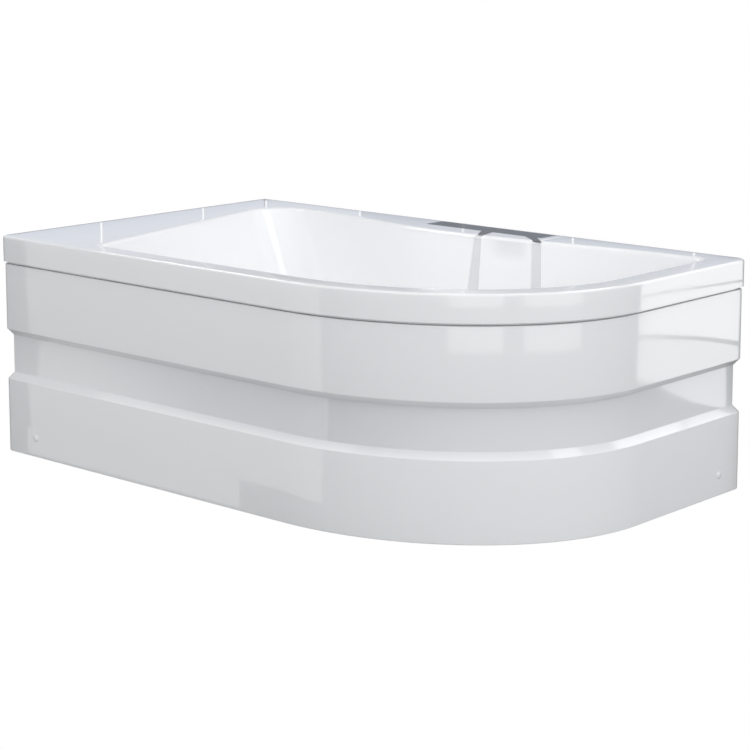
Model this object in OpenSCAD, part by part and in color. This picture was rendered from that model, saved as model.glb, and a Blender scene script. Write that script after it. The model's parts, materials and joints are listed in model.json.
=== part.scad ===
// Corner shower bath: an acrylic shell on a steel frame, closed by a one-piece curved panel.
// Two straight sides stand against walls. The origin is the centre of the footprint on the floor,
// +X runs along the long wall and +Y points to that wall.

/* [Bath] */
// Length along the long wall
bath_l = 1500; // [1450:10:1600]
// Depth from the long wall to the straight front
bath_w = 880; // [860:10:940]
// Height of the rim above the floor
bath_h = 520; // [510:5:560]
// Length that the curved corner takes from the front
curve_l = 572; // [540:2:600]
// Depth that the curved corner takes from the free end
curve_w = 476; // [450:2:490]
// Radius of the two upright corners next to the walls
corner_r = 24; // [24:1:30]

/* [Rim] */
// Height of the apron that hangs from the deck
rim_h = 60; // [56:1:64]
// Radius along the outer edge of the deck
rim_edge_r = 6; // [3:1:8]
// Radius along the inner edge of the deck
lip_r = 10; // [8:1:12]
// Width of the front deck
deck_front = 60; // [56:1:70]
// Width of the deck at the free end
deck_end = 65; // [62:1:70]
// Width of the back deck at its left end
deck_back_left = 79; // [75:1:90]
// Width of the back deck at its right end
deck_back_right = 65; // [62:1:75]
// How far the back deck swells forward at the column seat
deck_swell = 60; // [50:1:65]
// Width of the left deck at the front
deck_left_front = 290; // [270:5:300]
// Width of the left deck at the back
deck_left_back = 115; // [105:5:130]

/* [Basin] */
// Depth from the rim to the waste
basin_depth = 400; // [380:5:405]
// Fall of the floor towards the waste
floor_fall = 5; // [3:1:6]
// Thickness of the acrylic
shell_t = 5; // [4:0.5:6]
// Thickness of the glass-fibre backing
backing_t = 4; // [3:0.5:4.5]
// Lean of the front wall, in degrees
front_draft = 5; // [4:0.5:7]
// Lean of the end wall, in degrees
end_draft = 8; // [7.5:0.5:9]
// Lean of the back wall, in degrees
back_draft = 4.5; // [4:0.5:6]
// Lean of the sloping left wall, in degrees
rest_draft = 24; // [18:1:26]
// Radius between the walls and the floor
toe_r = 60; // [50:2:66]
// Radius between the sloping left wall and the floor
rest_toe_r = 110; // [90:5:120]

/* [Column seat] */
// Length of the dark plate that a shower column stands on
seat_l = 355; // [300:5:380]
// Width of the plate
seat_w = 63; // [45:1:68]
// Distance from the wall to the plate
seat_from_wall = 7; // [7:1:30]

/* [Front panel] */
// Thickness of the panel
panel_t = 4; // [3:0.5:4.5]
// How far the rim overhangs the panel
panel_set_back = 4; // [3.5:0.5:5]
// Open joint between the rim and the panel
panel_gap = 6; // [4:1:8]
// Gap between the panel and the floor
panel_clear = 3; // [2:1:5]
// Height of the upper edge of the set-back band
band_top = 298; // [285:1:305]
// Height of the lower edge of the set-back band
band_bottom = 178; // [170:1:190]
// Depth of the set-back band
band_depth = 15; // [10:1:15]

/* [Frame] */
// Side of the square rails
rail = 30; // [28:1:30]
// Wall of the square tubes
tube_wall = 1.5; // [1.2:0.1:2]
// Side of the square posts
post = 25; // [22:1:25]
// Height of the underside of the rails
rail_z = 63; // [60:1:66]
// Thickness of the rim battens
batten_t = 18; // [15:1:20]

/* [Feet] */
// Radius of the threaded stud
stud_r = 6; // [5:0.5:6]
// Radius of the foot pad
pad_r = 25; // [22:1:28]
// Running gap between the stud and its nuts
thread_gap = 0.3; // [0.3:0.1:0.5]

/* [Waste] */
// Radius of the waste flange
flange_r = 35; // [33:1:36]
// Radius of the outlet pipe
outlet_r = 20; // [19:0.5:20]
// Radius of the overflow pipe
overflow_r = 12.5; // [12:0.25:12.5]
// Travel of the pop-up plug
plug_travel = 10; // [8:1:12]

/* [Hidden] */
$fn = 48;
half_l = bath_l / 2;
half_w = bath_w / 2;
waste_z = bath_h - basin_depth;
floor_z = waste_z + floor_fall;
board_top = waste_z - shell_t - backing_t;
rail_top = rail_z + rail;
board_t = board_top - rail_top;
batten_bottom = bath_h - shell_t - batten_t;

// Reach of a cutter past what it cuts
past = 20;

// Centre of the curved corner
curve_x = half_l - curve_l;
curve_y = -half_w + curve_w;

// Waste, overflow and the peak of the back deck's swell
waste = [490, 60];
overflow_y = 190;
overflow_z = bath_h - 70;
swell_x = -10;
drain_hole_r = 26;
overflow_hole_r = 20;
flange_recess = 3;

// Column seat: its left front corner, thickness and the gap around it
seat_x = half_l - 875;
seat_y = half_w - seat_from_wall - seat_w;
seat_t = 3;
seat_gap = 0.3;

// Radii of the opening's corners, at the rim and at the floor
front_left_r = [28, 90];
back_left_r = [90, 110];
back_right_r = [32, 90];
floor_swell = 0.4;

// Number of steps in each stretch of an outline
corner_n = 6;
curve_n = 28;
back_n = 26;
back_left_n = 8;
straight_n = 4;

// Rail centre lines
back_rail_y = half_w - 37;
front_rail_y = -half_w + 65;
left_rail_x = -half_l + 45;
right_rail_x = half_l - 45;
diagonal_start = [curve_x + 22, front_rail_y];
diagonal_end = [right_rail_x, curve_y + 4];
cross_rails = [-230, 80, 390];
bearer_y = 250;
posts = [
    [left_rail_x, front_rail_y], [left_rail_x, back_rail_y], [swell_x, back_rail_y],
    [right_rail_x + 2.5, back_rail_y], [right_rail_x + 2.5, curve_y + 24]
];

// Feet: front left, front middle, free end, back right, back left, centre
feet = [
    [left_rail_x + 65, front_rail_y], [150, front_rail_y], [right_rail_x - 5, 110],
    [right_rail_x - 65, back_rail_y], [left_rail_x + 65, back_rail_y], [cross_rails[1], 15]
];
nut_h = 10;
lock_nut_h = 7;
nut_across = 18;
pad_top = 16;
stud_bottom = 8;
stud_top = 80;

// Screws
screw_r = 2.4;
screw_gap = 0.15;
screw_room = 0.6;
screw_head_r = 5;
screw_head_h = 2;
board_screws_at = [for (x = cross_rails, y = [-120, 180]) [x, y]];
board_screw_bite = 12;
plate_screw_bite = 12;
plate_screw_step = 20;
plate_t = 3;
cap_screw_r = 4.5;
washer_h = 0.6;
cap_r = 9;
cap_h = panel_set_back - washer_h;
cap_z = 50;
front_cap_x = -half_l + 114;
end_cap_y = half_w - 93;

// Wall brackets: [position along the wall, turn]
bracket_w = 120;
bracket_t = 3;
bracket_hole_r = 4;
bracket_hole_step = 80;
bracket_hole_z = 422;

// General shapes

function lerp(a, b, t) = a + (b - a) * t;
function unit(v) = v / norm(v);

// Points on an ellipse from one angle to another, both ends included
function arc(centre, rx, ry, from, to, n) = [
    for (i = [0:n]) let (a = lerp(from, to, i / n)) centre + [rx * cos(a), ry * sin(a)]
];

// Points between two ends, without the ends
function between(a, b, n) = [for (i = [1:1:n - 1]) lerp(a, b, i / n)];

// Skin through rings of equal count. A looped stack joins its last ring to its first. Rings
// normally run up the outside of a solid. Turned is for a stack that runs the other way.
// An open stack's ends are closed by strips across from the ring's first half to its second.
module loft(rings, looped, turned = false) {
    n = len(rings[0]);
    last = looped ? len(rings) - 1 : len(rings) - 2;
    sides = [
        for (i = [0:last], j = [0:n - 1])
            let (up = ((i + 1) % len(rings)) * n, here = i * n, k = (j + 1) % n)
            each turned ? [[up + k, up + j, here + j], [here + k, up + k, here + j]]
                        : [[here + j, up + j, up + k], [here + j, up + k, here + k]]
    ];
    far = (len(rings) - 1) * n;
    ends = looped ? [] : [
        for (j = [0:n / 2 - 2])
            each [
                [j, j + 1, n - 2 - j, n - 1 - j],
                [far + j, far + n - 1 - j, far + n - 2 - j, far + j + 1]
            ]
    ];
    polyhedron([for (ring = rings) each ring], concat(sides, ends), convexity = 10);
}

// Ring with a round hole, its base at the origin
module ring(r, hole_r, h) {
    difference() {
        cylinder(r = r, h = h);
        translate([0, 0, -1]) cylinder(r = hole_r, h = h + 2);
    }
}

// Coupling nut with grip ribs round its rim
module ribbed_nut(r, hole_r, h, ribs) {
    difference() {
        union() {
            cylinder(r = r, h = h);
            for (i = [0:ribs - 1])
                rotate(i * 360 / ribs) translate([r, 0, 0]) cylinder(r = 1.5, h = h);
        }
        translate([0, 0, -1]) cylinder(r = hole_r, h = h + 2);
    }
}

// Hexagonal nut, its base at the origin
module hex_nut(h) {
    difference() {
        cylinder(d = nut_across / cos(30), h = h, $fn = 6);
        translate([0, 0, -1]) cylinder(r = stud_r + thread_gap, h = h + 2);
    }
}

// Square tube along +X, its axis on the origin
module square_tube(length, side) {
    bore = side - 2 * tube_wall;
    difference() {
        translate([0, -side / 2, -side / 2]) cube([length, side, side]);
        translate([-1, -bore / 2, -bore / 2]) cube([length + 2, bore, bore]);
    }
}

// Tube swept along a list of points, with flat ends
module swept_tube(route, r, sides) {
    last = len(route) - 1;
    rings = [
        for (i = [0:last])
            let (along = unit(route[min(i + 1, last)] - route[max(i - 1, 0)]),
                 across = unit(cross(along, [0.3, 1, 0.1])),
                 upward = cross(across, along))
            [for (j = [0:sides - 1]) let (a = -j * 360 / sides)
                route[i] + r * cos(a) * across + r * sin(a) * upward]
    ];
    loft(rings, false);
}

// Outlines of the bath

// Outer outline of the rim, brought in by a distance
function rim_outline(inset) =
    let (r = corner_r - inset, wall_r = shell_t + 2 - inset,
         left = -half_l + inset, right = half_l - inset,
         front = -half_w + inset, back = half_w - inset)
    concat(
        arc([left + r, front + r], r, r, 180, 270, corner_n),
        between([left + r, front], [curve_x, front], straight_n),
        arc([curve_x, curve_y], curve_l - inset, curve_w - inset, 270, 360, curve_n),
        between([right, curve_y], [right, back - r], straight_n),
        arc([right - r, back - r], r, r, 0, 90, corner_n),
        between([right - r, back], [left + wall_r, back], back_n),
        arc([left + wall_r, back - wall_r], wall_r, wall_r, 90, 180, back_left_n),
        between([left, back - wall_r], [left, front + r], straight_n)
    );

// The left edge of the opening leans, so its place depends on y
left_lean = atan((deck_left_front - deck_left_back) / (bath_w - deck_front - deck_back_left));
function left_edge(y, inset) =
    -half_l + deck_left_front + inset / cos(left_lean) - tan(left_lean) * (y + half_w - deck_front);

// Outline of the opening with its four sides brought in, at a depth share from 0 to 1
function well_outline(front, end, back, left, depth, skin) =
    let (front_y = -half_w + deck_front + front, end_x = half_l - deck_end - end,
         fl = lerp(front_left_r[0], front_left_r[1], depth) + skin,
         bl = lerp(back_left_r[0], back_left_r[1], depth) + skin,
         br = lerp(back_right_r[0], back_right_r[1], depth) + skin,
         fl_c = [left_edge(front_y + fl, left) + fl / cos(left_lean), front_y + fl],
         bl_y = half_w - deck_back_left - back - bl,
         bl_c = [left_edge(bl_y, left) + bl / cos(left_lean), bl_y],
         br_c = [end_x - br, half_w - deck_back_right - back - br],
         swell = deck_swell * lerp(1, floor_swell, depth),
         back_edge = [
             for (i = [1:back_n - 1])
                 let (x = lerp(br_c.x, bl_c.x, i / back_n),
                      side = x > swell_x ? br_c.x : bl_c.x,
                      away = (x - swell_x) / (side - swell_x))
                 [x, lerp(br_c.y + br, bl_c.y + bl, i / back_n) - swell * pow(cos(90 * away), 2)]
         ])
    concat(
        arc(fl_c, fl, fl, 180 + left_lean, 270, corner_n),
        between([fl_c.x, front_y], [curve_x, front_y], straight_n),
        arc([curve_x, curve_y], end_x - curve_x, curve_y - front_y, 270, 360, curve_n),
        between([end_x, curve_y], [end_x, br_c.y], straight_n),
        arc(br_c, br, br, 0, 90, corner_n),
        back_edge,
        arc(bl_c, bl, bl, 90, 180 + left_lean, back_left_n),
        between(bl_c - bl * [cos(left_lean), sin(left_lean)],
                fl_c - fl * [cos(left_lean), sin(left_lean)], straight_n)
    );

// How far a leaning wall with a round toe has come in at height z. The skin is the distance
// from the inner face to the face wanted, measured into the material.
function wall_inset(z, draft, toe, skin) =
    let (centre_z = floor_z + toe,
         centre = (bath_h - lip_r - centre_z + toe * sin(draft)) * tan(draft) + toe * cos(draft),
         r = toe + skin)
    z > centre_z - r * sin(draft)
        ? (bath_h - lip_r - z) * tan(draft) - skin / cos(draft)
        : centre - sqrt(max(0, r * r - pow(centre_z - z, 2)));

function lift(outline, z) = [for (p = outline) [p.x, p.y, z]];

function wall_ring(z, skin) = lift(well_outline(
    wall_inset(z, front_draft, toe_r, skin), wall_inset(z, end_draft, toe_r, skin),
    wall_inset(z, back_draft, toe_r, skin), wall_inset(z, rest_draft, rest_toe_r, skin),
    (bath_h - z) / basin_depth, skin), z);

// Ring on the rounded lip, at an angle from 90 on the deck to 0 at the wall
function lip_ring(angle, skin) =
    let (r = lip_r - skin, inset = -lip_r + r * cos(angle))
    lift(well_outline(inset, inset, inset, inset, 0, 0), bath_h - lip_r + r * sin(angle));

// Floor outline drawn in towards the waste by a share of the way
core_r = 20;
function floor_ring(skin, share, z) = [
    for (p = wall_ring(floor_z - skin, skin))
        let (way = [p.x, p.y] - waste, rim = waste + core_r * unit(way))
        [lerp(p.x, rim.x, share), lerp(p.y, rim.y, share), z]
];

// Floor outline brought in by the same distance on every side
function floor_outline(skin, extra) = well_outline(
    wall_inset(floor_z - skin, front_draft, toe_r, skin) + extra,
    wall_inset(floor_z - skin, end_draft, toe_r, skin) + extra,
    wall_inset(floor_z - skin, back_draft, toe_r, skin) + extra,
    wall_inset(floor_z - skin, rest_draft, rest_toe_r, skin) + extra, 1, 0);

// Heights at which the wall changes, from below the lip to the floor
toe_angles = [0, 15, 30, 45, 60, 75];
function wall_heights(skin) = concat(
    [floor_z + rest_toe_r],
    [for (a = toe_angles) floor_z + toe_r - (toe_r + skin) * sin(a)],
    [floor_z - skin + 1, floor_z - skin]
);

function reversed(list) = [for (i = [len(list) - 1:-1:0]) list[i]];

// One face of the basin from its lip to the waste, as rings
function basin_face(skin, top_z, waste_level) = concat(
    [wall_ring(top_z, skin)],
    [for (z = wall_heights(skin)) wall_ring(z, skin)],
    [floor_ring(skin, 0.5, lerp(floor_z - skin, waste_level, 0.5)), floor_ring(skin, 1, waste_level)]
);

// Bath shell and what is bonded to it

// Lays its children out from the overflow hole, +Z pointing out of the basin
module at_overflow() {
    inset = wall_inset(overflow_z, end_draft, toe_r, 0);
    translate([half_l - deck_end - inset, overflow_y, overflow_z])
        rotate([0, 90 + end_draft, 0]) children();
}

module tub_shell() {
    edge = [for (a = [0, 45, 90]) [rim_edge_r * (1 - cos(a)), bath_h - rim_edge_r * (1 - sin(a))]];
    rings = concat(
        [lift(rim_outline(0), bath_h - rim_h)],
        [for (e = edge) lift(rim_outline(e[0]), e[1])],
        [for (a = [90, 60, 30]) lip_ring(a, 0)],
        basin_face(0, bath_h - lip_r, waste_z),
        reversed(basin_face(shell_t, bath_h - lip_r, waste_z - shell_t)),
        [for (a = [45, 90]) lip_ring(a, shell_t)],
        [lift(rim_outline(shell_t), bath_h - shell_t), lift(rim_outline(shell_t), bath_h - rim_h)]
    );
    color("white") difference() {
        loft(rings, true);
        at_waste(waste_z - past) cylinder(r = drain_hole_r, h = 2 * past);
        at_waste(waste_z - flange_recess) cylinder(r = flange_r + 2, h = past);
        at_overflow() translate([0, 0, -past]) cylinder(r = overflow_hole_r, h = 2 * past);
        translate([seat_x - seat_gap, seat_y - seat_gap, bath_h - seat_t])
            cube([seat_l + 2 * seat_gap, seat_w + 2 * seat_gap, past]);
    }
}

// Its inner rings are the shell's own outer rings, so the two meet face to face
module glass_fibre_backing() {
    top = bath_h - lip_r;
    skin = shell_t + backing_t;
    flat_edge = 12;
    color("gainsboro") difference() {
        loft(concat(
            [wall_ring(top, skin)],
            [for (z = wall_heights(skin)) wall_ring(z, skin)],
            [lift(floor_outline(skin, flat_edge), board_top), floor_ring(skin, 1, board_top)],
            reversed(basin_face(shell_t, top, waste_z - shell_t))
        ), true, true);
        at_waste(board_top - past) cylinder(r = drain_hole_r + 2, h = 2 * past);
        at_overflow() translate([0, 0, -past]) cylinder(r = overflow_hole_r + 1, h = 2 * past);
    }
}

module base_board() {
    board_edge = 14;
    trap_room_r = 62;
    color("burlywood") difference() {
        translate([0, 0, rail_top]) linear_extrude(board_t)
            polygon(floor_outline(shell_t + backing_t, board_edge));
        at_waste(rail_top - 1) cylinder(r = trap_room_r, h = board_t + 2);
        for (s = board_screws_at)
            translate([s.x, s.y, rail_top - 1])
                cylinder(r = screw_r + screw_gap, h = board_screw_bite + 2);
    }
}

module column_seat() {
    color("slategray")
        translate([seat_x, seat_y, bath_h - seat_t]) cube([seat_l, seat_w, seat_t]);
}

// A long batten at the back, a pad and a batten at the left end, and a pad at the free end
module rim_battens() {
    wide = 38;
    off_apron = 3;
    joint = 10;
    corner_pad = [70, 120];
    end_pad = [40, 70];
    side = half_l - shell_t - off_apron;
    back_y = half_w - shell_t - off_apron - wide;
    pad_y = front_rail_y - 35;
    pad_end = pad_y + corner_pad.y;
    color("tan") difference() {
        translate([0, 0, batten_bottom]) linear_extrude(batten_t) {
            translate([-side, back_y]) square([2 * side - 8, wide]);
            translate([-side, pad_y]) square(corner_pad);
            translate([-side, pad_end + joint]) square([wide, back_y - pad_end - 2 * joint]);
            translate([right_rail_x - rail / 2 + 6, curve_y - 6]) square(end_pad);
        }
        post_plate_holes(batten_bottom - 1, plate_screw_bite + 4);
    }
}

// Front panel and what holds it

// Stations along the panel: [x, y, outward x, outward y]
function panel_stations() =
    let (left_return = 62, back_return = 28,
         r = corner_r - panel_set_back, across = half_l - corner_r, deep = half_w - corner_r,
         a_l = curve_l - panel_set_back, a_w = curve_w - panel_set_back)
    concat(
        [[-half_l + panel_set_back, -half_w + left_return, -1, 0]],
        [for (a = [180:18:270]) [-across + r * cos(a), -deep + r * sin(a), cos(a), sin(a)]],
        [
            for (i = [0:curve_n])
                let (a = 270 + 90 * i / curve_n, n = unit([cos(a) / a_l, sin(a) / a_w]))
                [curve_x + a_l * cos(a), curve_y + a_w * sin(a), n.x, n.y]
        ],
        [for (a = [0:18:90]) [across + r * cos(a), deep + r * sin(a), cos(a), sin(a)]],
        [[half_l - back_return, half_w - panel_set_back, 0, 1]]
    );

module front_panel() {
    top = bath_h - rim_h - panel_gap;
    t = panel_t;
    deep = band_depth + t;
    bevel = t * tan(22.5);
    outside = [
        [deep, panel_clear], [1, panel_clear], [0, panel_clear + 1.5],
        [0, band_bottom], [band_depth, band_bottom + band_depth],
        [band_depth, band_top - band_depth], [0, band_top],
        [0, top - 3], [1, top - 1], [3, top], [deep, top]
    ];
    inside = [
        [deep, panel_clear + t], [t + 1, panel_clear + t], [t, panel_clear + t + 1],
        [t, band_bottom - bevel], [deep, band_bottom + band_depth - bevel],
        [deep, band_top - band_depth + bevel], [t, band_top + bevel],
        [t, top - t - 2], [t + 0.6, top - t - 0.6], [t + 2, top - t], [deep, top - t]
    ];
    section = concat(outside, reversed(inside));
    rings = [
        for (s = panel_stations())
            [for (p = reversed(section)) [s[0] - p[0] * s[2], s[1] - p[0] * s[3], p[1]]]
    ];
    color("whitesmoke") difference() {
        loft(rings, false);
        at_panel_screws() translate([0, 0, -panel_t - 2])
            cylinder(r = screw_r + screw_room, h = panel_t + 4);
    }
}

// Lays its children out at the two panel screws, +Z pointing out of the panel's outer face
module at_panel_screws() {
    translate([front_cap_x, -half_w + panel_set_back, cap_z]) rotate([90, 0, 0]) children();
    translate([half_l - panel_set_back, end_cap_y, cap_z]) rotate([0, 90, 0]) children();
}

module panel_screws() {
    behind = panel_t + 12;
    color("silver") at_panel_screws() {
        translate([0, 0, -behind]) cylinder(r = screw_r, h = behind + 1);
        translate([0, 0, washer_h]) cylinder(r = cap_screw_r, h = 1.8);
    }
}

module cap_washers() {
    color("white") at_panel_screws() ring(cap_r - 0.5, screw_r + screw_gap, washer_h);
}

// Low dome that snaps over the washer, with a pocket for the screw's head
module screw_caps() {
    dome_r = (cap_r * cap_r + cap_h * cap_h) / (2 * cap_h);
    dome_angle = asin(cap_r / dome_r);
    dome_n = 4;
    pocket_r = cap_screw_r + 0.2;
    pocket_h = 2;
    dome = [
        for (i = [dome_n:-1:0]) let (a = dome_angle * i / dome_n)
            [dome_r * sin(a), cap_h - dome_r * (1 - cos(a))]
    ];
    color("white") at_panel_screws() translate([0, 0, washer_h])
        rotate_extrude() polygon(concat(dome, [[0, pocket_h], [pocket_r, pocket_h], [pocket_r, 0]]));
}

// Steel angles from the rails to the back of the panel, each with a hole for its screw
module panel_brackets() {
    t = 2.5;
    w = 30;
    low = cap_z - 15;
    leg = rail_top + t - low;
    inner = half_w - panel_set_back - panel_t;
    end_inner = half_l - panel_set_back - panel_t;
    color("silver") difference() {
        union() {
            translate([front_cap_x - w / 2, -inner, low]) cube([w, t, leg]);
            translate([front_cap_x - w / 2, -inner + t, rail_top])
                cube([w, inner - t + front_rail_y + rail / 2, t]);
            translate([end_inner - t, end_cap_y - w / 2, low]) cube([t, w, leg]);
            translate([right_rail_x - rail / 2, end_cap_y - w / 2, rail_top])
                cube([end_inner - t - right_rail_x + rail / 2, w, t]);
        }
        at_panel_screws() translate([0, 0, -panel_t - past])
            cylinder(r = screw_r + screw_gap, h = past);
    }
}

// Lays its children out along the rim, local -Y pointing outwards
module at_clips() {
    for (x = [-0.4, -0.2, 0] * bath_l) translate([x, -half_w]) children();
    for (a = [300, 332])
        translate([curve_x + curve_l * cos(a), curve_y + curve_w * sin(a)])
            rotate(atan2(sin(a) / curve_w, cos(a) / curve_l) + 90) children();
    translate([half_l, curve_y + 90]) rotate(90) children();
}

// Z-shaped clips under the deck: the panel's top flange sits on their tongues
module panel_clips() {
    t = 2;
    w = 40;
    tip = 12;
    back = panel_set_back + band_depth + panel_t + 3;
    top = bath_h - shell_t;
    low = bath_h - rim_h - panel_gap - panel_t;
    color("silver") at_clips() {
        translate([-w / 2, tip, low - t]) cube([w, back + t - tip, t]);
        translate([-w / 2, back, low]) cube([w, t, top - low]);
        translate([-w / 2, tip, top - t]) cube([w, back - tip, t]);
    }
}

// Steel frame

module stud_holes() {
    for (f = feet) translate([f.x, f.y, rail_z - 1]) cylinder(r = stud_r + 0.5, h = tube_wall + 2);
}

module board_screw_holes() {
    for (s = board_screws_at)
        translate([s.x, s.y, rail_z - 1]) cylinder(r = screw_r + screw_gap, h = rail + 2);
}

module rail_from(x, y, turn, length) {
    translate([x, y, rail_z + rail / 2]) rotate(turn) square_tube(length, rail);
}

module long_rails() {
    left = left_rail_x - rail / 2;
    color("lightgray") difference() {
        union() {
            rail_from(left, front_rail_y, 0, diagonal_start.x - left);
            rail_from(left, back_rail_y, 0, right_rail_x + rail / 2 - left);
        }
        stud_holes();
    }
}

module end_rails() {
    color("lightgray") difference() {
        union() {
            rail_from(left_rail_x, front_rail_y + rail / 2, 90, back_rail_y - front_rail_y - rail);
            rail_from(right_rail_x, diagonal_end.y, 90, back_rail_y - rail / 2 - diagonal_end.y);
        }
        stud_holes();
    }
}

function diagonal_turn() = atan2(diagonal_end.y - diagonal_start.y, diagonal_end.x - diagonal_start.x);

module diagonal_rail() {
    way = diagonal_end - diagonal_start;
    color("lightgray") difference() {
        translate([diagonal_start.x, diagonal_start.y, 0]) rotate(diagonal_turn())
            translate([-rail, 0, 0]) rail_from(0, 0, 0, norm(way) + 2 * rail);
        translate([diagonal_start.x - 100, -half_w, 0]) cube([100, 200, 200]);
        translate([diagonal_end.x - 100, diagonal_end.y, 0]) cube([200, 100, 200]);
    }
}

// Solid that the diagonal rail takes up, for the cross rail that ends on it
module diagonal_block() {
    translate([diagonal_start.x, diagonal_start.y, rail_z - 1]) rotate(diagonal_turn())
        translate([0, -rail / 2, 0]) cube([900, rail, rail + 2]);
}

module cross_rails() {
    start = front_rail_y + rail / 2;
    end = back_rail_y - rail / 2;
    on_diagonal = lerp(diagonal_start.y, diagonal_end.y,
        (cross_rails[2] - diagonal_start.x) / (diagonal_end.x - diagonal_start.x));
    color("lightgray") difference() {
        union() {
            for (x = [cross_rails[0], cross_rails[1]]) rail_from(x, start, 90, end - start);
            rail_from(cross_rails[2], on_diagonal, 90, end - on_diagonal);
        }
        diagonal_block();
        stud_holes();
        board_screw_holes();
    }
}

module bearer_rail() {
    start = cross_rails[2] + rail / 2;
    color("lightgray") rail_from(start, bearer_y, 0, right_rail_x - rail / 2 - start);
}

// Plug for the open end of a long rail. Inward is 1 or -1 along X.
module rail_plug(x, y, inward) {
    cap_t = 2;
    plug_l = 12;
    bore = rail - 2 * tube_wall;
    translate([x - (inward + 1) / 2 * cap_t, y - rail / 2, rail_z]) cube([cap_t, rail, rail]);
    translate([x + (inward - 1) / 2 * plug_l, y - bore / 2, rail_z + tube_wall])
        cube([plug_l, bore, bore]);
}

module rail_end_plugs() {
    color("dimgray") {
        for (y = [front_rail_y, back_rail_y]) rail_plug(left_rail_x - rail / 2, y, 1);
        rail_plug(right_rail_x + rail / 2, back_rail_y, -1);
    }
}

module rim_posts() {
    color("lightgray") for (p = posts)
        translate([p.x, p.y, rail_top]) rotate([0, -90, 0])
            square_tube(batten_bottom - plate_t - rail_top, post);
}

// Each plate has two screws, one to each side of its post, in line with its batten
post_turns = [0, 90, 90, 90, 0];
module at_post_plates() {
    for (i = [0:len(posts) - 1])
        translate([posts[i].x, posts[i].y, batten_bottom - plate_t]) rotate(post_turns[i])
            children();
}

module post_plate_holes(z, h) {
    for (i = [0:len(posts) - 1], side = [-1, 1])
        translate([posts[i].x, posts[i].y, z])
            rotate(post_turns[i]) translate([0, side * plate_screw_step, 0])
                cylinder(r = screw_r + screw_gap, h = h);
}

module post_plates() {
    plate_l = 56;
    color("silver") difference() {
        at_post_plates() translate([-post / 2, -plate_l / 2, 0]) cube([post, plate_l, plate_t]);
        post_plate_holes(batten_bottom - plate_t - 1, plate_t + 2);
    }
}

// Screw with its head under the origin and its tip up
module pan_screw(length) {
    cylinder(r = screw_r, h = length);
    translate([0, 0, -screw_head_h]) cylinder(r = screw_head_r, h = screw_head_h);
}

module post_plate_screws() {
    color("dimgray") at_post_plates() for (side = [-1, 1])
        translate([0, side * plate_screw_step, 0]) pan_screw(plate_t + plate_screw_bite);
}

module board_screws() {
    color("dimgray") for (s = board_screws_at)
        translate([s.x, s.y, rail_z]) pan_screw(rail + board_screw_bite);
}

// Angles screwed to the wall: the apron's lower edge rests on them
module wall_bracket() {
    shelf = 40;
    leg = 62;
    low = bath_h - rim_h - leg;
    difference() {
        translate([-bracket_w / 2, -shelf, low]) cube([bracket_w, shelf, leg]);
        translate([-bracket_w / 2 - 1, -shelf - bracket_t, low - bracket_t])
            cube([bracket_w + 2, shelf, leg]);
        for (side = [-1, 1]) translate([side * bracket_hole_step / 2, 1, bracket_hole_z])
            rotate([90, 0, 0]) cylinder(r = bracket_hole_r, h = bracket_t + 2);
    }
}

module wall_brackets() {
    color("silver") {
        for (x = [-0.3, 0.2] * bath_l) translate([x, half_w, 0]) wall_bracket();
        translate([-half_l, 60, 0]) rotate(90) wall_bracket();
    }
}

// Feet

module leg_nuts() {
    color("silver") for (f = feet) translate([f.x, f.y, rail_z - nut_h]) hex_nut(nut_h);
}

module lock_nuts() {
    color("silver") for (f = feet) translate([f.x, f.y, rail_z - nut_h - lock_nut_h]) hex_nut(lock_nut_h);
}

// Threaded stud with a hexagonal collar that takes the spanner
module foot_stud(i) {
    collar_r = 9;
    collar_h = 6;
    color("silver") translate([feet[i].x, feet[i].y, 0]) {
        translate([0, 0, stud_bottom]) cylinder(r = stud_r, h = stud_top - stud_bottom);
        translate([0, 0, pad_top]) cylinder(r = collar_r, h = collar_h, $fn = 6);
    }
}

module foot_pad(i) {
    neck_r = 11;
    color("dimgray") translate([feet[i].x, feet[i].y, 0]) difference() {
        rotate_extrude() polygon([[0, 0], [pad_r - 1, 0], [pad_r, 1], [pad_r, 4], [neck_r + 3, 10],
            [neck_r, 12], [neck_r, pad_top], [0, pad_top]]);
        translate([0, 0, stud_bottom]) cylinder(r = stud_r + 0.1, h = pad_top);
    }
}

// Waste and trap

module at_waste(z) {
    translate([waste.x, waste.y, z]) children();
}

plug_seat_r = 19;
stem_r = 4;
stem_gap = 0.1;
gasket_t = 3;
body_bore_r = plug_seat_r + 3.3;
body_r = body_bore_r + 4;
inlet_z = 78;
outlet_z = 30;
trap_top = 52;
trap_bottom = 8;
trap_r = 42;
trap_wall = 4;
outlet_wall = 3.5;
spigot_l = 60;
pipe_gap = 0.2;
socket_wall = 2.5;
socket_r = overflow_r + socket_wall;
elbow = [half_l - 100, overflow_y, inlet_z];
elbow_way = [waste.x, waste.y] - [elbow.x, elbow.y];
inlet_turn = atan2(-elbow_way.y, -elbow_way.x);

// Flange with a strainer plate that guides the plug's stem
module waste_flange() {
    neck = plug_seat_r + 3;
    neck_l = 20;
    plate_top = -2.5;
    plate_bottom = -5;
    hole_r = 5.5;
    hole_ring_r = 12.2;
    color("silver") at_waste(waste_z - flange_recess) difference() {
        rotate_extrude() polygon([[0, plate_bottom], [plug_seat_r, plate_bottom],
            [plug_seat_r, -neck_l], [neck, -neck_l], [neck, 0], [flange_r, 0], [flange_r, 2.2],
            [flange_r - 1, 3], [plug_seat_r + 5, 3], [plug_seat_r, plate_top], [0, plate_top]]);
        translate([0, 0, -neck_l]) cylinder(r = stem_r + stem_gap, h = neck_l);
        for (a = [0:60:300])
            rotate(a) translate([hole_ring_r, 0, -neck_l]) cylinder(r = hole_r, h = neck_l);
    }
}

module waste_gasket() {
    color("dimgray") at_waste(board_top - gasket_t)
        ring(plug_seat_r + 16, plug_seat_r + 4, gasket_t);
}

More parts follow.
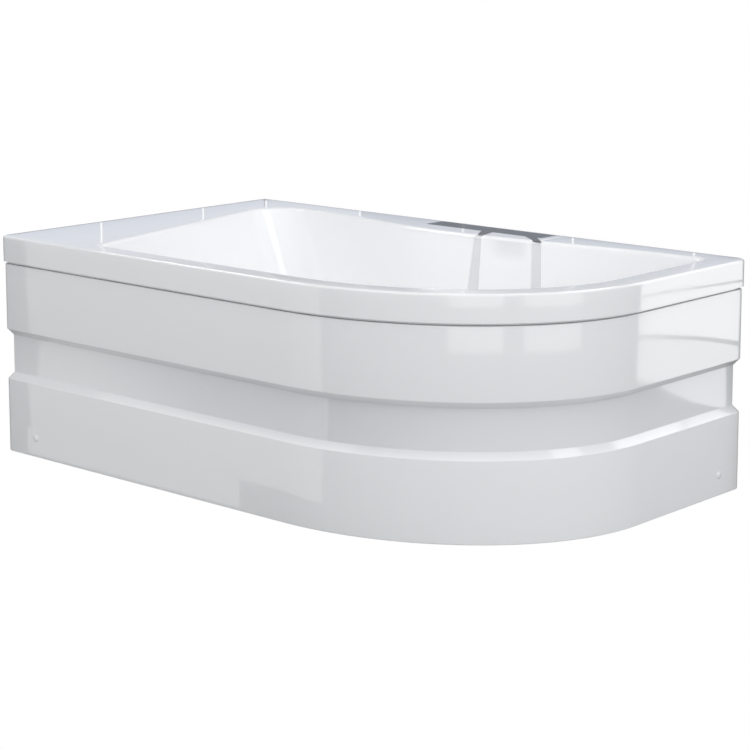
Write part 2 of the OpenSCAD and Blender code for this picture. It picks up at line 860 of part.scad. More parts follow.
module waste_body() {
    collar_r = 37;
    collar_t = 5;
    socket_l = 52;
    bottom = trap_top - 2;
    collar_z = board_top - gasket_t - collar_t;
    color("white") difference() {
        union() {
            at_waste(collar_z) cylinder(r = collar_r, h = collar_t);
            at_waste(bottom) cylinder(r = body_r, h = collar_z - bottom);
            at_waste(inlet_z) rotate([0, 90, inlet_turn]) cylinder(r = socket_r, h = socket_l);
        }
        at_waste(bottom - 1) cylinder(r = body_bore_r, h = 100);
        at_waste(inlet_z) rotate([0, 90, inlet_turn])
            cylinder(r = overflow_r + pipe_gap, h = socket_l + 1);
    }
}

// Domed plug, its underside blind-drilled for the stem
module popup_plug() {
    cap = 30;
    color("silver") at_waste(waste_z + 0.5) difference() {
        rotate_extrude() polygon([[0, 0], [cap - 1, 0], [cap, 1], [cap, 2], [cap - 3, 4], [cap - 12, 5.5],
            [0, 6]]);
        translate([0, 0, -1]) cylinder(r = stem_r, h = 3);
    }
}

module plug_stem() {
    foot_z = inlet_z - 10;
    color("goldenrod") at_waste(foot_z) {
        cylinder(r = stem_r, h = waste_z + 2.5 - foot_z);
        cylinder(r = stem_r + 3, h = 3);
    }
}

// Coupling nut whose inner lip holds the waste body down in the trap
module trap_nut() {
    nut_r = 34;
    rib_r = 1.5;
    lip = 3;
    clear = 0.3;
    h = inlet_z - socket_r - trap_top - 2 * clear;
    color("white") at_waste(trap_top + clear) difference() {
        union() {
            cylinder(r = nut_r, h = h);
            for (a = [0:22.5:337.5]) rotate(a) translate([nut_r, 0, 0]) cylinder(r = rib_r, h = h);
        }
        translate([0, 0, -1]) cylinder(r = body_r + trap_neck + clear, h = h + 1 - lip);
        cylinder(r = body_r + clear, h = h + 1);
    }
}

trap_neck = 4.3;
module trap_body() {
    neck_h = 7;
    inside_r = trap_r - trap_wall;
    outlet_start = trap_r - 5;
    outlet_end = 78;
    color("white") difference() {
        union() {
            at_waste(trap_bottom) cylinder(r = trap_r, h = trap_top - trap_bottom);
            at_waste(trap_top - 1) cylinder(r = body_r + trap_neck, h = neck_h);
            at_waste(outlet_z) rotate([-90, 0, 0]) translate([0, 0, outlet_start])
                cylinder(r = outlet_r + outlet_wall, h = outlet_end - outlet_start);
        }
        at_waste(trap_bottom + 3) cylinder(r = inside_r, h = trap_top - trap_bottom - 7);
        at_waste(trap_bottom + 5) cylinder(r = body_r + 0.3, h = 60);
        at_waste(outlet_z) rotate([-90, 0, 0]) translate([0, 0, inside_r - trap_wall])
            cylinder(r = outlet_r + pipe_gap, h = outlet_end);
    }
}

// Cleaning cap that screws into the bottom of the trap
module trap_cup() {
    cup_r = 33;
    grip_r = 2;
    cup_z = 2;
    h = trap_bottom - cup_z;
    color("white") at_waste(cup_z) {
        cylinder(r = cup_r, h = h);
        for (a = [0:30:330]) rotate(a) translate([cup_r, 0, 0]) cylinder(r = grip_r, h = h - 1);
    }
}

module outlet_nut() {
    nut_start = 64;
    color("white") translate([waste.x, waste.y + nut_start, outlet_z]) rotate([-90, 0, 0])
        ribbed_nut(outlet_r + outlet_wall + 3, outlet_r + outlet_wall + pipe_gap, 20, 14);
}

// A shallow groove marks how far the drain's socket slides on
module outlet_pipe() {
    start = waste.y + 50;
    wall = 1.8;
    groove = 1.5;
    length = half_w - 12 - start;
    color("whitesmoke") translate([waste.x, start, outlet_z]) rotate([-90, 0, 0]) difference() {
        ring(outlet_r, outlet_r - wall, length);
        translate([0, 0, length - spigot_l - groove]) ring(outlet_r + 1, outlet_r - 0.5, groove);
    }
}

// Overflow

overflow_base = shell_t + backing_t;
overflow_pipe_wall = 1.6;
knob_r = 22;
knob_back = -9.5;
chamber_r = 15;
chamber_end = 34;
tee_up = [half_l - 38, overflow_y, overflow_z - 26];
fall_way = tee_up - elbow;
fall_turn = atan2(fall_way.x, fall_way.z);

// Lays its children out from the elbow, +Z pointing up the leaning pipe
module at_fall(start) {
    translate(elbow) rotate([0, fall_turn, 0]) translate([0, 0, start]) children();
}

// Dished ring: water runs in round the knob's edge and through the bore behind it
module overflow_face() {
    face_r = 36;
    bore = chamber_r + 0.2;
    depth = 9;
    color("silver") at_overflow() translate([0, 0, -depth]) rotate_extrude()
        polygon([[bore, 4], [knob_r + 1.5, 4], [knob_r + 4, 0], [face_r - 4, 0], [face_r - 1, 2],
            [face_r, 5], [face_r, depth], [overflow_hole_r, depth], [overflow_hole_r, 6.5], [bore, 6.5]]);
}

// Turning knob with a finger bar and a shaft that ends in the body's back wall
module overflow_knob() {
    knob_h = 12.5;
    bar = [8, 42, 7];
    shaft_end = chamber_end + 5;
    color("silver") at_overflow() {
        translate([0, 0, knob_back - knob_h]) cylinder(r = knob_r, h = knob_h);
        translate([-bar.x / 2, -bar.y / 2, knob_back - knob_h - 6]) cube(bar);
        translate([0, 0, knob_back - 0.5]) cylinder(r = stem_r, h = shaft_end - knob_back + 0.5);
    }
}

module overflow_gasket() {
    color("dimgray") at_overflow() translate([0, 0, overflow_base]) ring(31, 21, gasket_t);
}

// Chamber behind the overflow hole, with a socket for the pipe that leads down
module overflow_body() {
    neck_r = overflow_hole_r - 0.4;
    collar_r = 31;
    collar_t = 4;
    box_r = 25;
    box_h = 27;
    collar_z = overflow_base + gasket_t;
    pipe_top = norm(fall_way) - 4;
    color("white") difference() {
        union() {
            at_overflow() {
                translate([0, 0, 0.2]) cylinder(r = neck_r, h = overflow_base + 4);
                translate([0, 0, collar_z]) cylinder(r = collar_r, h = collar_t);
                translate([0, 0, collar_z + collar_t]) cylinder(r = box_r, h = box_h);
            }
            at_fall(norm(fall_way) - 22) cylinder(r = socket_r + 0.5, h = 26);
        }
        at_overflow() translate([0, 0, -1]) cylinder(r = chamber_r, h = chamber_end + 1);
        at_overflow() cylinder(r = stem_r + stem_gap, h = chamber_end + 7);
        at_fall(pipe_top - 26) cylinder(r = overflow_r + pipe_gap, h = 26);
        at_fall(pipe_top - 1) cylinder(r = overflow_r - overflow_pipe_wall, h = 16);
    }
}

module overflow_nut() {
    color("white") at_fall(norm(fall_way) - 26) ribbed_nut(socket_r + 4, socket_r + 0.7, 12, 12);
}

module overflow_pipe() {
    color("whitesmoke") at_fall(20)
        ring(overflow_r, overflow_r - overflow_pipe_wall, norm(fall_way) - 29);
}

// Lays its children out from the elbow, +Z pointing along the cross pipe to the waste
module at_cross(start) {
    translate(elbow) rotate([0, 90, inlet_turn + 180]) translate([0, 0, start]) children();
}

// Hollow bend with a socket for each pipe
module overflow_elbow() {
    ball_r = socket_r + 1.5;
    hollow_r = overflow_r + 0.6;
    up_l = 44;
    across_l = 40;
    color("white") difference() {
        union() {
            translate(elbow) sphere(r = ball_r);
            at_fall(0) cylinder(r = socket_r + 0.5, h = up_l);
            at_cross(0) cylinder(r = socket_r, h = across_l);
        }
        translate(elbow) sphere(r = hollow_r);
        at_fall(2) cylinder(r = overflow_r - 1, h = 30);
        at_fall(20) cylinder(r = overflow_r + pipe_gap, h = up_l);
        at_cross(3) cylinder(r = overflow_r - 1.2, h = 30);
        at_cross(20) cylinder(r = overflow_r + pipe_gap, h = across_l);
    }
}

module overflow_cross_pipe() {
    start = 22;
    color("whitesmoke") at_cross(start)
        ring(overflow_r, overflow_r - overflow_pipe_wall, norm(elbow_way) - start - 32);
}

module inlet_nut() {
    color("white") at_waste(inlet_z) rotate([0, 90, inlet_turn])
        translate([0, 0, 36]) ribbed_nut(socket_r + 2.5, socket_r + 0.2, 14, 12);
}

// Route of the control cable, from the overflow body to the waste body
cable_route = [
    [706, 215, 446], [706, 220, 445], [705, 225, 438], [704, 227, 426], [702, 226, 405],
    [699, 224, 380], [695, 224, 340], [688, 224, 300], [680, 224, 250], [671, 224, 200],
    [662, 224, 150], [656, 222, 118], [647, 214, 96], [635, 205, 84], [619, 196, 80],
    [588, 171, 78], [557, 146, 78], [530, 124, 79], [508, 108, 80], [494, 98, 80], [487, 87, 80]
];

module plug_cable() {
    color("dimgray") swept_tube(cable_route, 2.5, 8);
}

tub_shell();
glass_fibre_backing();
base_board();
rim_battens();
column_seat();
front_panel();
panel_clips();
panel_brackets();
panel_screws();
cap_washers();
screw_caps();
long_rails();
end_rails();
diagonal_rail();
cross_rails();
bearer_rail();
rail_end_plugs();
rim_posts();
post_plates();
post_plate_screws();
board_screws();
wall_brackets();
leg_nuts();
lock_nuts();
foot_stud(0);  // foot_stud_1
foot_stud(1);  // foot_stud_2
foot_stud(2);  // foot_stud_3
foot_stud(3);  // foot_stud_4
foot_stud(4);  // foot_stud_5
foot_stud(5);  // foot_stud_6
foot_pad(0);  // foot_pad_1
foot_pad(1);  // foot_pad_2
foot_pad(2);  // foot_pad_3
foot_pad(3);  // foot_pad_4
foot_pad(4);  // foot_pad_5
foot_pad(5);  // foot_pad_6
waste_flange();
waste_gasket();
waste_body();
popup_plug();
plug_stem();
trap_nut();
trap_body();
trap_cup();
outlet_nut();
outlet_pipe();
overflow_face();
overflow_knob();
overflow_gasket();
overflow_body();
overflow_nut();
overflow_pipe();
overflow_elbow();
overflow_cross_pipe();
inlet_nut();
plug_cable();
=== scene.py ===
import json
import math

import bpy
from mathutils import Matrix, Vector


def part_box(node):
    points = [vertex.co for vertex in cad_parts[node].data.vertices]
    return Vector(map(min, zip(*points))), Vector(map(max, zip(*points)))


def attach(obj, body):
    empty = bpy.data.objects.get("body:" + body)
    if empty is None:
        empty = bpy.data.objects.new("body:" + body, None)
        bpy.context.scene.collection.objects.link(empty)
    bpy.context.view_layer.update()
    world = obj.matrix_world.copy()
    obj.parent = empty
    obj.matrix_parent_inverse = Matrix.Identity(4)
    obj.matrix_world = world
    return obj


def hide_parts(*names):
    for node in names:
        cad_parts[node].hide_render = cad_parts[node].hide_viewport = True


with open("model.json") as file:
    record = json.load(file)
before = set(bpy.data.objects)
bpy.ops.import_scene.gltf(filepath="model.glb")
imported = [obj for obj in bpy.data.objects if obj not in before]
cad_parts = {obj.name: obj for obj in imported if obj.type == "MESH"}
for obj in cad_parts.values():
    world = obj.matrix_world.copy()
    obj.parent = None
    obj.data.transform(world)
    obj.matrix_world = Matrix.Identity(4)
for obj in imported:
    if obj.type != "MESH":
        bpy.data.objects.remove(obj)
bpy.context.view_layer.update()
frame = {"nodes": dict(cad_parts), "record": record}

nodes = frame["nodes"]

camera = {
    "place": (3.202, -3.491, 1.262),
    "yaw": 131.65,          # degrees from +X to where it looks
    "pitch": 8.32,          # degrees below the horizon
    "pictureWidth": 750,    # pixels
    "focalLength": 2111,    # pixels
    "sensorWidth": 36,      # millimetres
    "shiftX": -0.0234,
    "shiftY": -0.2,
}


def setCamera():
    print("camera")
    bpy.ops.object.select_all(action="DESELECT")
    bpy.ops.object.camera_add(location=camera["place"])
    cam = bpy.context.active_object
    cam.name = "photoCamera"
    cam.rotation_euler = (math.radians(90 - camera["pitch"]), 0, math.radians(camera["yaw"] - 90))
    cam.data.sensor_width = camera["sensorWidth"]
    cam.data.lens = camera["focalLength"] / camera["pictureWidth"] * camera["sensorWidth"]
    cam.data.shift_x = camera["shiftX"]
    cam.data.shift_y = camera["shiftY"]
    cam.data.clip_end = 100
    bpy.context.scene.camera = cam


# Small helpers for work in edit mode

tiny = 0.00001              # points closer than this are one


def pickUp(obj):
    bpy.ops.object.select_all(action="DESELECT")
    obj.select_set(True)
    bpy.context.view_layer.objects.active = obj


def selectVertices(obj, chosen):
    mesh = obj.data
    mesh.polygons.foreach_set("select", [False] * len(mesh.polygons))
    mesh.edges.foreach_set("select", [False] * len(mesh.edges))
    mesh.vertices.foreach_set("select", chosen)


def inEditMode(obj, *steps):
    pickUp(obj)
    bpy.ops.object.mode_set(mode="EDIT")
    bpy.ops.mesh.select_mode(type="VERT")
    for step in steps:
        step()
    bpy.ops.object.mode_set(mode="OBJECT")


def selectAll():
    bpy.ops.mesh.select_all(action="SELECT")


def mergeDoubles():
    bpy.ops.mesh.remove_doubles(threshold=tiny)


def primitive(adder, name, **values):
    bpy.ops.object.select_all(action="DESELECT")
    adder(**values)
    obj = bpy.context.active_object
    obj.name = name
    obj.data.name = name
    return obj


# A closed loop of edges laid on these points
def drawLoop(name, points):
    obj = primitive(bpy.ops.mesh.primitive_circle_add, name,
                    vertices=len(points), radius=0.1, fill_type="NOTHING")
    obj.data.vertices.foreach_set("co", [c for p in points for c in p])
    return obj


# The last loop is extruded, and the new one is laid on these points
def extrudeLoop(obj, points):
    before = len(obj.data.vertices)
    selectVertices(obj, [i >= before - len(points) for i in range(before)])
    inEditMode(obj, bpy.ops.mesh.extrude_edges_move)
    for i, p in enumerate(points):
        obj.data.vertices[before + i].co = p


def loftLoops(name, loops):
    obj = drawLoop(name, loops[0])
    for loop in loops[1:]:
        extrudeLoop(obj, loop)
    return obj


def fillEnds(obj, count):
    total = len(obj.data.vertices)
    for first in (0, total - count):
        selectVertices(obj, [first <= i < first + count for i in range(total)])
        inEditMode(obj, bpy.ops.mesh.edge_face_add)


def applyModifier(obj, kind, **values):
    pickUp(obj)
    modifier = obj.modifiers.new(kind.title(), kind)
    for key, value in values.items():
        setattr(modifier, key, value)
    bpy.ops.object.modifier_apply(modifier=modifier.name)


def outward(obj):
    inEditMode(obj, selectAll, mergeDoubles,
               lambda: bpy.ops.mesh.normals_make_consistent(inside=False))


def smooth(obj, degrees):
    pickUp(obj)
    bpy.ops.object.shade_smooth_by_angle(angle=math.radians(degrees))


def cutWith(obj, cutter, operation="DIFFERENCE"):
    applyModifier(obj, "BOOLEAN", operation=operation, object=cutter, solver="EXACT")
    bpy.data.objects.remove(cutter)


def softEdges(obj, width, segments=2, degrees=35):
    applyModifier(obj, "BEVEL", width=width, segments=segments, limit_method="ANGLE",
                  angle_limit=math.radians(degrees))


def settle(obj):
    pickUp(obj)
    bpy.ops.object.transform_apply(location=True, rotation=True, scale=True)


def join(name, pieces):
    bpy.ops.object.select_all(action="DESELECT")
    for piece in pieces:
        piece.select_set(True)
    bpy.context.view_layer.objects.active = pieces[0]
    bpy.ops.object.join()
    pieces[0].name = name
    pieces[0].data.name = name
    return pieces[0]


def copyOf(obj, name, place=(0, 0, 0)):
    pickUp(obj)
    bpy.ops.object.duplicate()
    copy = bpy.context.active_object
    copy.name = name
    copy.data.name = name
    copy.location = place
    settle(copy)
    return copy


# Lays a piece that stands on the Z axis along an axis through a place
def aim(obj, place, axis):
    turn = Vector(axis).to_track_quat("Z", "X")
    obj.matrix_world = Matrix.Translation(place) @ turn.to_matrix().to_4x4()
    settle(obj)


# A round piece from its outline of radius and height. Aiming it up gives it half a turn, without
# which its corners fall exactly on those of the nut that it cuts, and the cut goes wrong
def turned(name, profile, sides):
    turns = [2 * math.pi * i / sides for i in range(sides)]
    loops = [[(r * math.cos(t), r * math.sin(t), z) for t in turns] for r, z in profile]
    obj = loftLoops(name, loops)
    fillEnds(obj, sides)
    outward(obj)
    aim(obj, (0, 0, 0), (0, 0, 1))
    return obj


# A plate or rib: the loop is filled, and its face drawn out by an offset
def thickened(name, points, offset):
    obj = drawLoop(name, points)
    inEditMode(obj, selectAll, bpy.ops.mesh.edge_face_add,
               lambda: bpy.ops.mesh.extrude_region_move(TRANSFORM_OT_translate={"value": offset}))
    outward(obj)
    return obj


# overflow_face becomes overflowFace
def pieceName(node):
    first, *others = node.split("_")
    return first + "".join(word.title() for word in others)


def finishPiece(obj, body, slot, material, *replaced):
    obj.data.materials.clear()
    obj.data.materials.append(material)
    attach(obj, body)
    if replaced:
        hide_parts(*replaced)


# Outlines of the bath, in metres

bath = {
    "length": 1.500,
    "width": 0.880,
    "height": 0.520,
    "curveLength": 0.572,
    "curveWidth": 0.476,
    "cornerRadius": 0.024,
    "wallCornerRadius": 0.007,
    "apron": 0.060,
    "edgeRadius": 0.006,
    "lipRadius": 0.010,
    "deckFront": 0.060,
    "deckEnd": 0.065,
    "deckBackLeft": 0.079,
    "deckBackRight": 0.065,
    "deckSwell": 0.060,
    "deckLeftFront": 0.290,
    "deckLeftBack": 0.115,
    "swellX": -0.010,
    "wasteZ": 0.120,
    "floorZ": 0.125,
    "shell": 0.005,
    "behindLip": 0.008,                     # from the lip's round edge to the loop behind it
    "toeRadius": 0.060,
    "restToeRadius": 0.110,
    "drafts": {"front": 5, "end": 8, "back": 4.5, "rest": 24},
    "frontLeftRadius": (0.028, 0.090),      # at the rim and at the floor
    "backLeftRadius": (0.090, 0.110),
    "backRightRadius": (0.032, 0.090),
    "floorSwell": 0.4,                      # share of the deck's swell that the floor has
    "floorRing": 0.0002,                    # height of the last ring above the floor's edge
    "floorShares": (0.1, 0.3, 0.5, 0.7, 0.85, 1),
    "waste": (0.490, 0.060),
    "overflow": (0.190, 0.450),             # y and z
}
steps = {
    "corner": 10,
    "straight": 8,
    "curve": 96,
    "backLeft": 20,
    "back": (34, 140, 60),                  # right of the channels, along them, left of them
    "rimEdge": 6,
    "wall": 12,
    "toe": 14,
}
denseFrom, denseTo = 0.290, 0.022           # the stretch of the back wall that has the channels
uprightFrom = -0.10                         # from here on to the left the vertices stand in upright lines

halfL, halfW = bath["length"] / 2, bath["width"] / 2
curveX, curveY = halfL - bath["curveLength"], bath["curveWidth"] - halfW
leanAngle = math.atan((bath["deckLeftFront"] - bath["deckLeftBack"])
                      / (bath["width"] - bath["deckFront"] - bath["deckBackLeft"]))


def mix(a, b, share):
    return a + (b - a) * share


def arc(cx, cy, rx, ry, start, end, count):
    turns = [math.radians(mix(start, end, i / count)) for i in range(count + 1)]
    return [(cx + rx * math.cos(t), cy + ry * math.sin(t)) for t in turns]


def between(a, b, count):
    return [(mix(a[0], b[0], i / count), mix(a[1], b[1], i / count)) for i in range(1, count)]


def lift(outline, z):
    return [(x, y, z) for x, y in outline]


channels = {
    "runs": [
        # middle and width of each, at the deck and at its foot
        {"top": (0.087, 0.0185), "foot": (0.056, 0.0415)},
        {"top": (0.246, 0.023), "foot": (0.248, 0.027)},
    ],
    "footZ": 0.250,
    "depth": 0.004,
    "edge": 0.003,          # width of each rounded edge
    "wallFrom": 0.15,       # only the back wall lies beyond this Y
    "runOut": (0.06, 0.08), # how far below the foot they fade to nothing, and over what height
}


# How far down the channels a height is, from 0 at the deck to 1 at their foot
def downShare(z):
    return min(1, (bath["height"] - z) / (bath["height"] - channels["footZ"]))


def channelEdges(end):
    edges = []
    for run in reversed(channels["runs"]):
        middle, width = run[end]
        edges += [middle + width / 2, middle - width / 2]
    return edges


# Moves a place on the back wall so that the vertices run along the channels' slanted edges
def besideChannels(x, z):
    tops, feet = [[denseFrom, *channelEdges(end), uprightFrom] for end in ("top", "foot")]
    for i in range(len(tops) - 1):
        if tops[i] >= x > tops[i + 1]:
            moved = mix(feet[i], feet[i + 1], (x - tops[i]) / (tops[i + 1] - tops[i]))
            return mix(x, moved, downShare(z))
    return x


# Places along the back wall from right to left, close together at the drip channels
def backPlaces(right, left):
    few, many, rest = steps["back"]
    places = [mix(right, denseFrom, i / few) for i in range(1, few)]
    places += [mix(denseFrom, denseTo, i / many) for i in range(many)]
    return places + [mix(denseTo, left, i / rest) for i in range(rest)]


def rimOutline(inset):
    r = bath["cornerRadius"] - inset
    wallR = bath["wallCornerRadius"] - inset
    left, right = inset - halfL, halfL - inset
    front, back = inset - halfW, halfW - inset
    return (
        arc(left + r, front + r, r, r, 180, 270, steps["corner"])
        + between((left + r, front), (curveX, front), steps["straight"])
        + arc(curveX, curveY, right - curveX, curveY - front, 270, 360, steps["curve"])
        + between((right, curveY), (right, back - r), steps["straight"])
        + arc(right - r, back - r, r, r, 0, 90, steps["corner"])
        + [(x, back) for x in backPlaces(right - r, left + wallR)]
        + arc(left + wallR, back - wallR, wallR, wallR, 90, 180, steps["backLeft"])
        + between((left, back - wallR), (left, front + r), steps["straight"])
    )


def leftEdge(y, inset):
    return (-halfL + bath["deckLeftFront"] + inset / math.cos(leanAngle)
            - math.tan(leanAngle) * (y + halfW - bath["deckFront"]))


# The opening with its four sides brought in, at a depth share from 0 to 1
def openingOutline(front, end, back, left, depth, skin):
    frontY, endX = bath["deckFront"] + front - halfW, halfL - bath["deckEnd"] - end
    fl = mix(*bath["frontLeftRadius"], depth) + skin
    bl = mix(*bath["backLeftRadius"], depth) + skin
    br = mix(*bath["backRightRadius"], depth) + skin
    flX, flY = leftEdge(frontY + fl, left) + fl / math.cos(leanAngle), frontY + fl
    blY = halfW - bath["deckBackLeft"] - back - bl
    blX = leftEdge(blY, left) + bl / math.cos(leanAngle)
    brX, brY = endX - br, halfW - bath["deckBackRight"] - back - br
    swell = bath["deckSwell"] * mix(1, bath["floorSwell"], depth)
    backEdge = []
    for x in backPlaces(brX, blX):
        x = besideChannels(x, bath["height"] - depth * (bath["height"] - bath["wasteZ"]))
        share = (x - brX) / (blX - brX)
        side = brX if x > bath["swellX"] else blX
        away = (x - bath["swellX"]) / (side - bath["swellX"])
        y = mix(brY + br, blY + bl, share) - swell * math.cos(math.radians(90 * away)) ** 2
        backEdge.append((x, y))
    lean = math.degrees(leanAngle)
    offX, offY = math.cos(leanAngle), math.sin(leanAngle)
    return (
        arc(flX, flY, fl, fl, 180 + lean, 270, steps["corner"])
        + between((flX, frontY), (curveX, frontY), steps["straight"])
        + arc(curveX, curveY, endX - curveX, curveY - frontY, 270, 360, steps["curve"])
        + between((endX, curveY), (endX, brY), steps["straight"])
        + arc(brX, brY, br, br, 0, 90, steps["corner"])
        + backEdge
        + arc(blX, blY, bl, bl, 90, 180 + lean, steps["backLeft"])
        + between((blX - bl * offX, blY - bl * offY), (flX - fl * offX, flY - fl * offY),
                  steps["straight"])
    )


# How far a leaning wall with a round toe has come in at height z
def wallInset(z, draft, toe, skin):
    lean = math.radians(draft)
    start = bath["height"] - bath["lipRadius"]
    centreZ = bath["floorZ"] + toe
    centre = (start - centreZ + toe * math.sin(lean)) * math.tan(lean) + toe * math.cos(lean)
    r = toe + skin
    if z > centreZ - r * math.sin(lean):
        return (start - z) * math.tan(lean) - skin / math.cos(lean)
    return centre - math.sqrt(max(0, r * r - (centreZ - z) ** 2))


def wallInsets(z, skin):
    toe, rest = bath["toeRadius"], bath["restToeRadius"]
    toes = {"front": toe, "end": toe, "back": toe, "rest": rest}
    return [wallInset(z, bath["drafts"][side], toes[side], skin) for side in toes]


def wallLoop(z, skin):
    depth = (bath["height"] - z) / (bath["height"] - bath["wasteZ"])
    return lift(openingOutline(*wallInsets(z, skin), depth, skin), z)


# Around the lip's quarter round, from 90 degrees on the deck to 0 on the wall
def lipLoop(angle):
    r = bath["lipRadius"]
    turn = math.radians(angle)
    step = -r + r * math.cos(turn)
    return lift(openingOutline(*[step] * 4, 0, 0), bath["height"] - r + r * math.sin(turn))


# The floor drawn in towards a circle round the waste
def floorLoop(skin, share, z, radius):
    points = []
    wx, wy = bath["waste"]
    for x, y, _ in wallLoop(bath["floorZ"] - skin, skin):
        away = math.hypot(x - wx, y - wy)
        rimX, rimY = wx + radius * (x - wx) / away, wy + radius * (y - wy) / away
        points.append((mix(x, rimX, share), mix(y, rimY, share), z))
    return points


def wallHeights(skin):
    toe, floorZ = bath["toeRadius"], bath["floorZ"]
    top, bottom = bath["height"] - bath["lipRadius"], floorZ + bath["restToeRadius"]
    upper = [mix(top, bottom, i / steps["wall"]) for i in range(1, steps["wall"] + 1)]
    turns = [math.radians(90 * i / steps["toe"]) for i in range(steps["toe"])]
    lower = [floorZ + toe - (toe + skin) * math.sin(t) for t in turns]
    return upper + lower + [floorZ - skin + bath["floorRing"], floorZ - skin]


def smoothStep(share):
    share = min(1, max(0, share))
    return share * share * (3 - 2 * share)


# How much of the channels' depth is pressed in at this place on the back wall
def channelMask(x, y, z):
    if y < channels["wallFrom"]:
        return 0
    down = downShare(z)
    mask = 0
    for run in channels["runs"]:
        middle, width = (mix(run["top"][i], run["foot"][i], down) for i in (0, 1))
        inside = (width / 2 - abs(x - middle)) / channels["edge"] + 0.5
        mask = max(mask, smoothStep(inside))
    below, height = channels["runOut"]
    return mask * smoothStep((z - channels["footZ"] + below) / height)


# Painted shade on the back wall, in the drip channels and in a soft patch under the column plate
wallShading = {
    "front": 0.15, "back": 0.40,
    # how dark the painted shade is in the channels and in the patch
    "channels": 0.85, "patch": 0.6,         # how grey each is
    # where the patch starts from each side, and over what width it comes in
    "left": (0.105, 0.060), "right": (0.238, 0.040), "top": (0.517, 0.008), "foot": (0.466, 0.032),
}


# Painted shade: the channels are painted darker than the wall, and a soft painted shade lies between them
# under the plate
def paintedBasinShade(x, y, z):
    s = wallShading
    if not s["front"] < y < s["back"] or z > bath["height"] - tiny:
        return 0
    patch = s["patch"]
    for side, inside in (("left", x - s["left"][0]), ("right", s["right"][0] - x),
                         ("top", s["top"][0] - z), ("foot", z - s["foot"][0])):
        patch *= smoothStep(inside / s[side][1])
    return max(s["channels"] * channelMask(x, y, z), patch)


# Presses the two drip channels into the back wall and its lip
def pressChannels(loop, up):
    pressed = []
    for x, y, z in loop:
        depth = channels["depth"] * channelMask(x, y, z)
        pressed.append((x, y + depth * (1 - up), z - depth * up))
    return pressed


plate = {
    "left": -0.125, "right": 0.230, "front": 0.370, "back": 0.433,
    "thickness": 0.0025, "below": 0.0004, "edge": 0.0008,
    "tabs": [((0.052, 0.086), (0.0775, 0.0975)), ((0.184, 0.219), (0.2335, 0.2585))],
    "tabEnds": [0.3262, 0.3345],
    "gap": 0.0005, "pocketReach": 0.03, "pocketDepth": 0.003,
}
clearCut = 0.01             # how far a cutter stands proud of the face that it cuts


# Outline of the column plate with its two tabs, grown by a gap; a reach carries the tabs on forward
def plateOutline(gap, reach=0):
    left, right = plate["left"] - gap, plate["right"] + gap
    front, back = plate["front"] - gap, plate["back"] + gap
    points = [(left, back), (left, front)]
    for (near, far), endY in zip(plate["tabs"], plate["tabEnds"]):
        tip = [(far[0] - gap, endY), (far[1] + gap, endY)]
        if reach:
            tip[1:1] = [(x, endY - reach) for x, _ in tip]
        points += [(near[0] - gap, front), *tip, (near[1] + gap, front)]
    return points + [(right, front), (right, back)]


def slab(name, outline, bottom, top):
    return thickened(name, lift(outline, bottom), (0, 0, top - bottom))


wasteSeat = {"recess": 0.037, "edge": 0.001, "step": 0.0005, "depth": 0.003, "hole": 0.026}


def makeShell(material):
    print("bath shell")
    top, r, low = bath["height"], bath["edgeRadius"], bath["wasteZ"]
    loops = [lift(rimOutline(0), top - bath["apron"]), lift(rimOutline(0), top - bath["apron"] / 2)]
    for i in range(steps["rimEdge"] + 1):
        turn = math.radians(90 * i / steps["rimEdge"])
        loops.append(lift(rimOutline(r * (1 - math.cos(turn))), top - r * (1 - math.sin(turn))))
    behindLip = -bath["lipRadius"] - bath["behindLip"]
    loops.append(lift(openingOutline(*[behindLip] * 4, 0, 0), top))
    loops += [pressChannels(lipLoop(a), math.sin(math.radians(a))) for a in (90, 75, 60, 45, 30, 15)]
    loops += [pressChannels(wallLoop(z, 0), 0) for z in [top - bath["lipRadius"]] + wallHeights(0)]
    w = wasteSeat
    for share in bath["floorShares"]:
        z = mix(bath["floorZ"], low, math.sin(math.radians(90 * share)))
        loops.append(floorLoop(0, share, z, w["recess"] + w["edge"]))
    for down, radius in (("step", "recess"), ("depth", "recess"), ("depth", "hole")):
        loops.append(floorLoop(0, 1, low - w[down], w[radius]))
    shell = loftLoops("bathShell", loops)
    outward(shell)
    applyModifier(shell, "SOLIDIFY", thickness=bath["shell"], offset=shellSide(shell),
                  use_even_offset=False)
    outward(shell)
    cutWith(shell, slab("platePocket", plateOutline(plate["gap"], plate["pocketReach"]),
                        top - plate["pocketDepth"], top + clearCut))
    cutWith(shell, overflowRod("overflowHole", *overflowCuts["shell"]))
    smooth(shell, 30)
    shell = join("bathShell", [shell, rimTongue()])
    markPaintedShade(shell, paintedBasinShade)
    finishPiece(shell, "bath", "bath_acrylic", material, "tub_shell")


tongue = {
    "reach": 0.0045, "front": 0.0085, "back": 0.0115,   # in from the rim's outline
    "low": 0.4552, "web": 0.466, "high": 0.470,
    "first": 6, "last": -4,                 # the rim's points that it runs between
}


# A tongue behind the rim's skirt, from the front left to the back right, that closes the joint
def rimTongue():
    t = tongue
    near, front, back = [rimOutline(t[key]) for key in ("reach", "front", "back")]
    section = [(near, t["web"]), (near, t["high"]), (back, t["high"]), (back, t["low"]),
               (front, t["low"]), (front, t["web"])]
    count = steps["corner"] * 2 + steps["straight"] * 2 + steps["curve"]
    run = range(t["first"], count + t["last"])
    loops = [[(*outline[i], z) for outline, z in section] for i in run]
    piece = loftLoops("rimTongue", loops)
    fillEnds(piece, len(section))
    outward(piece)
    smooth(piece, 30)
    return piece


# Stores on each vertex how much painted shade darkens its colour there, in the attribute called pressed
def markPaintedShade(obj, mask):
    pressed = obj.data.attributes.new("pressed", "FLOAT", "POINT")
    pressed.data.foreach_set("value", [mask(*v.co) for v in obj.data.vertices])


# Solidify goes to the side that lies inside the material: below the deck
def shellSide(shell):
    deck = max(shell.data.polygons, key=lambda p: p.center.z * 10 + p.area)
    return -1 if deck.normal.z > 0 else 1


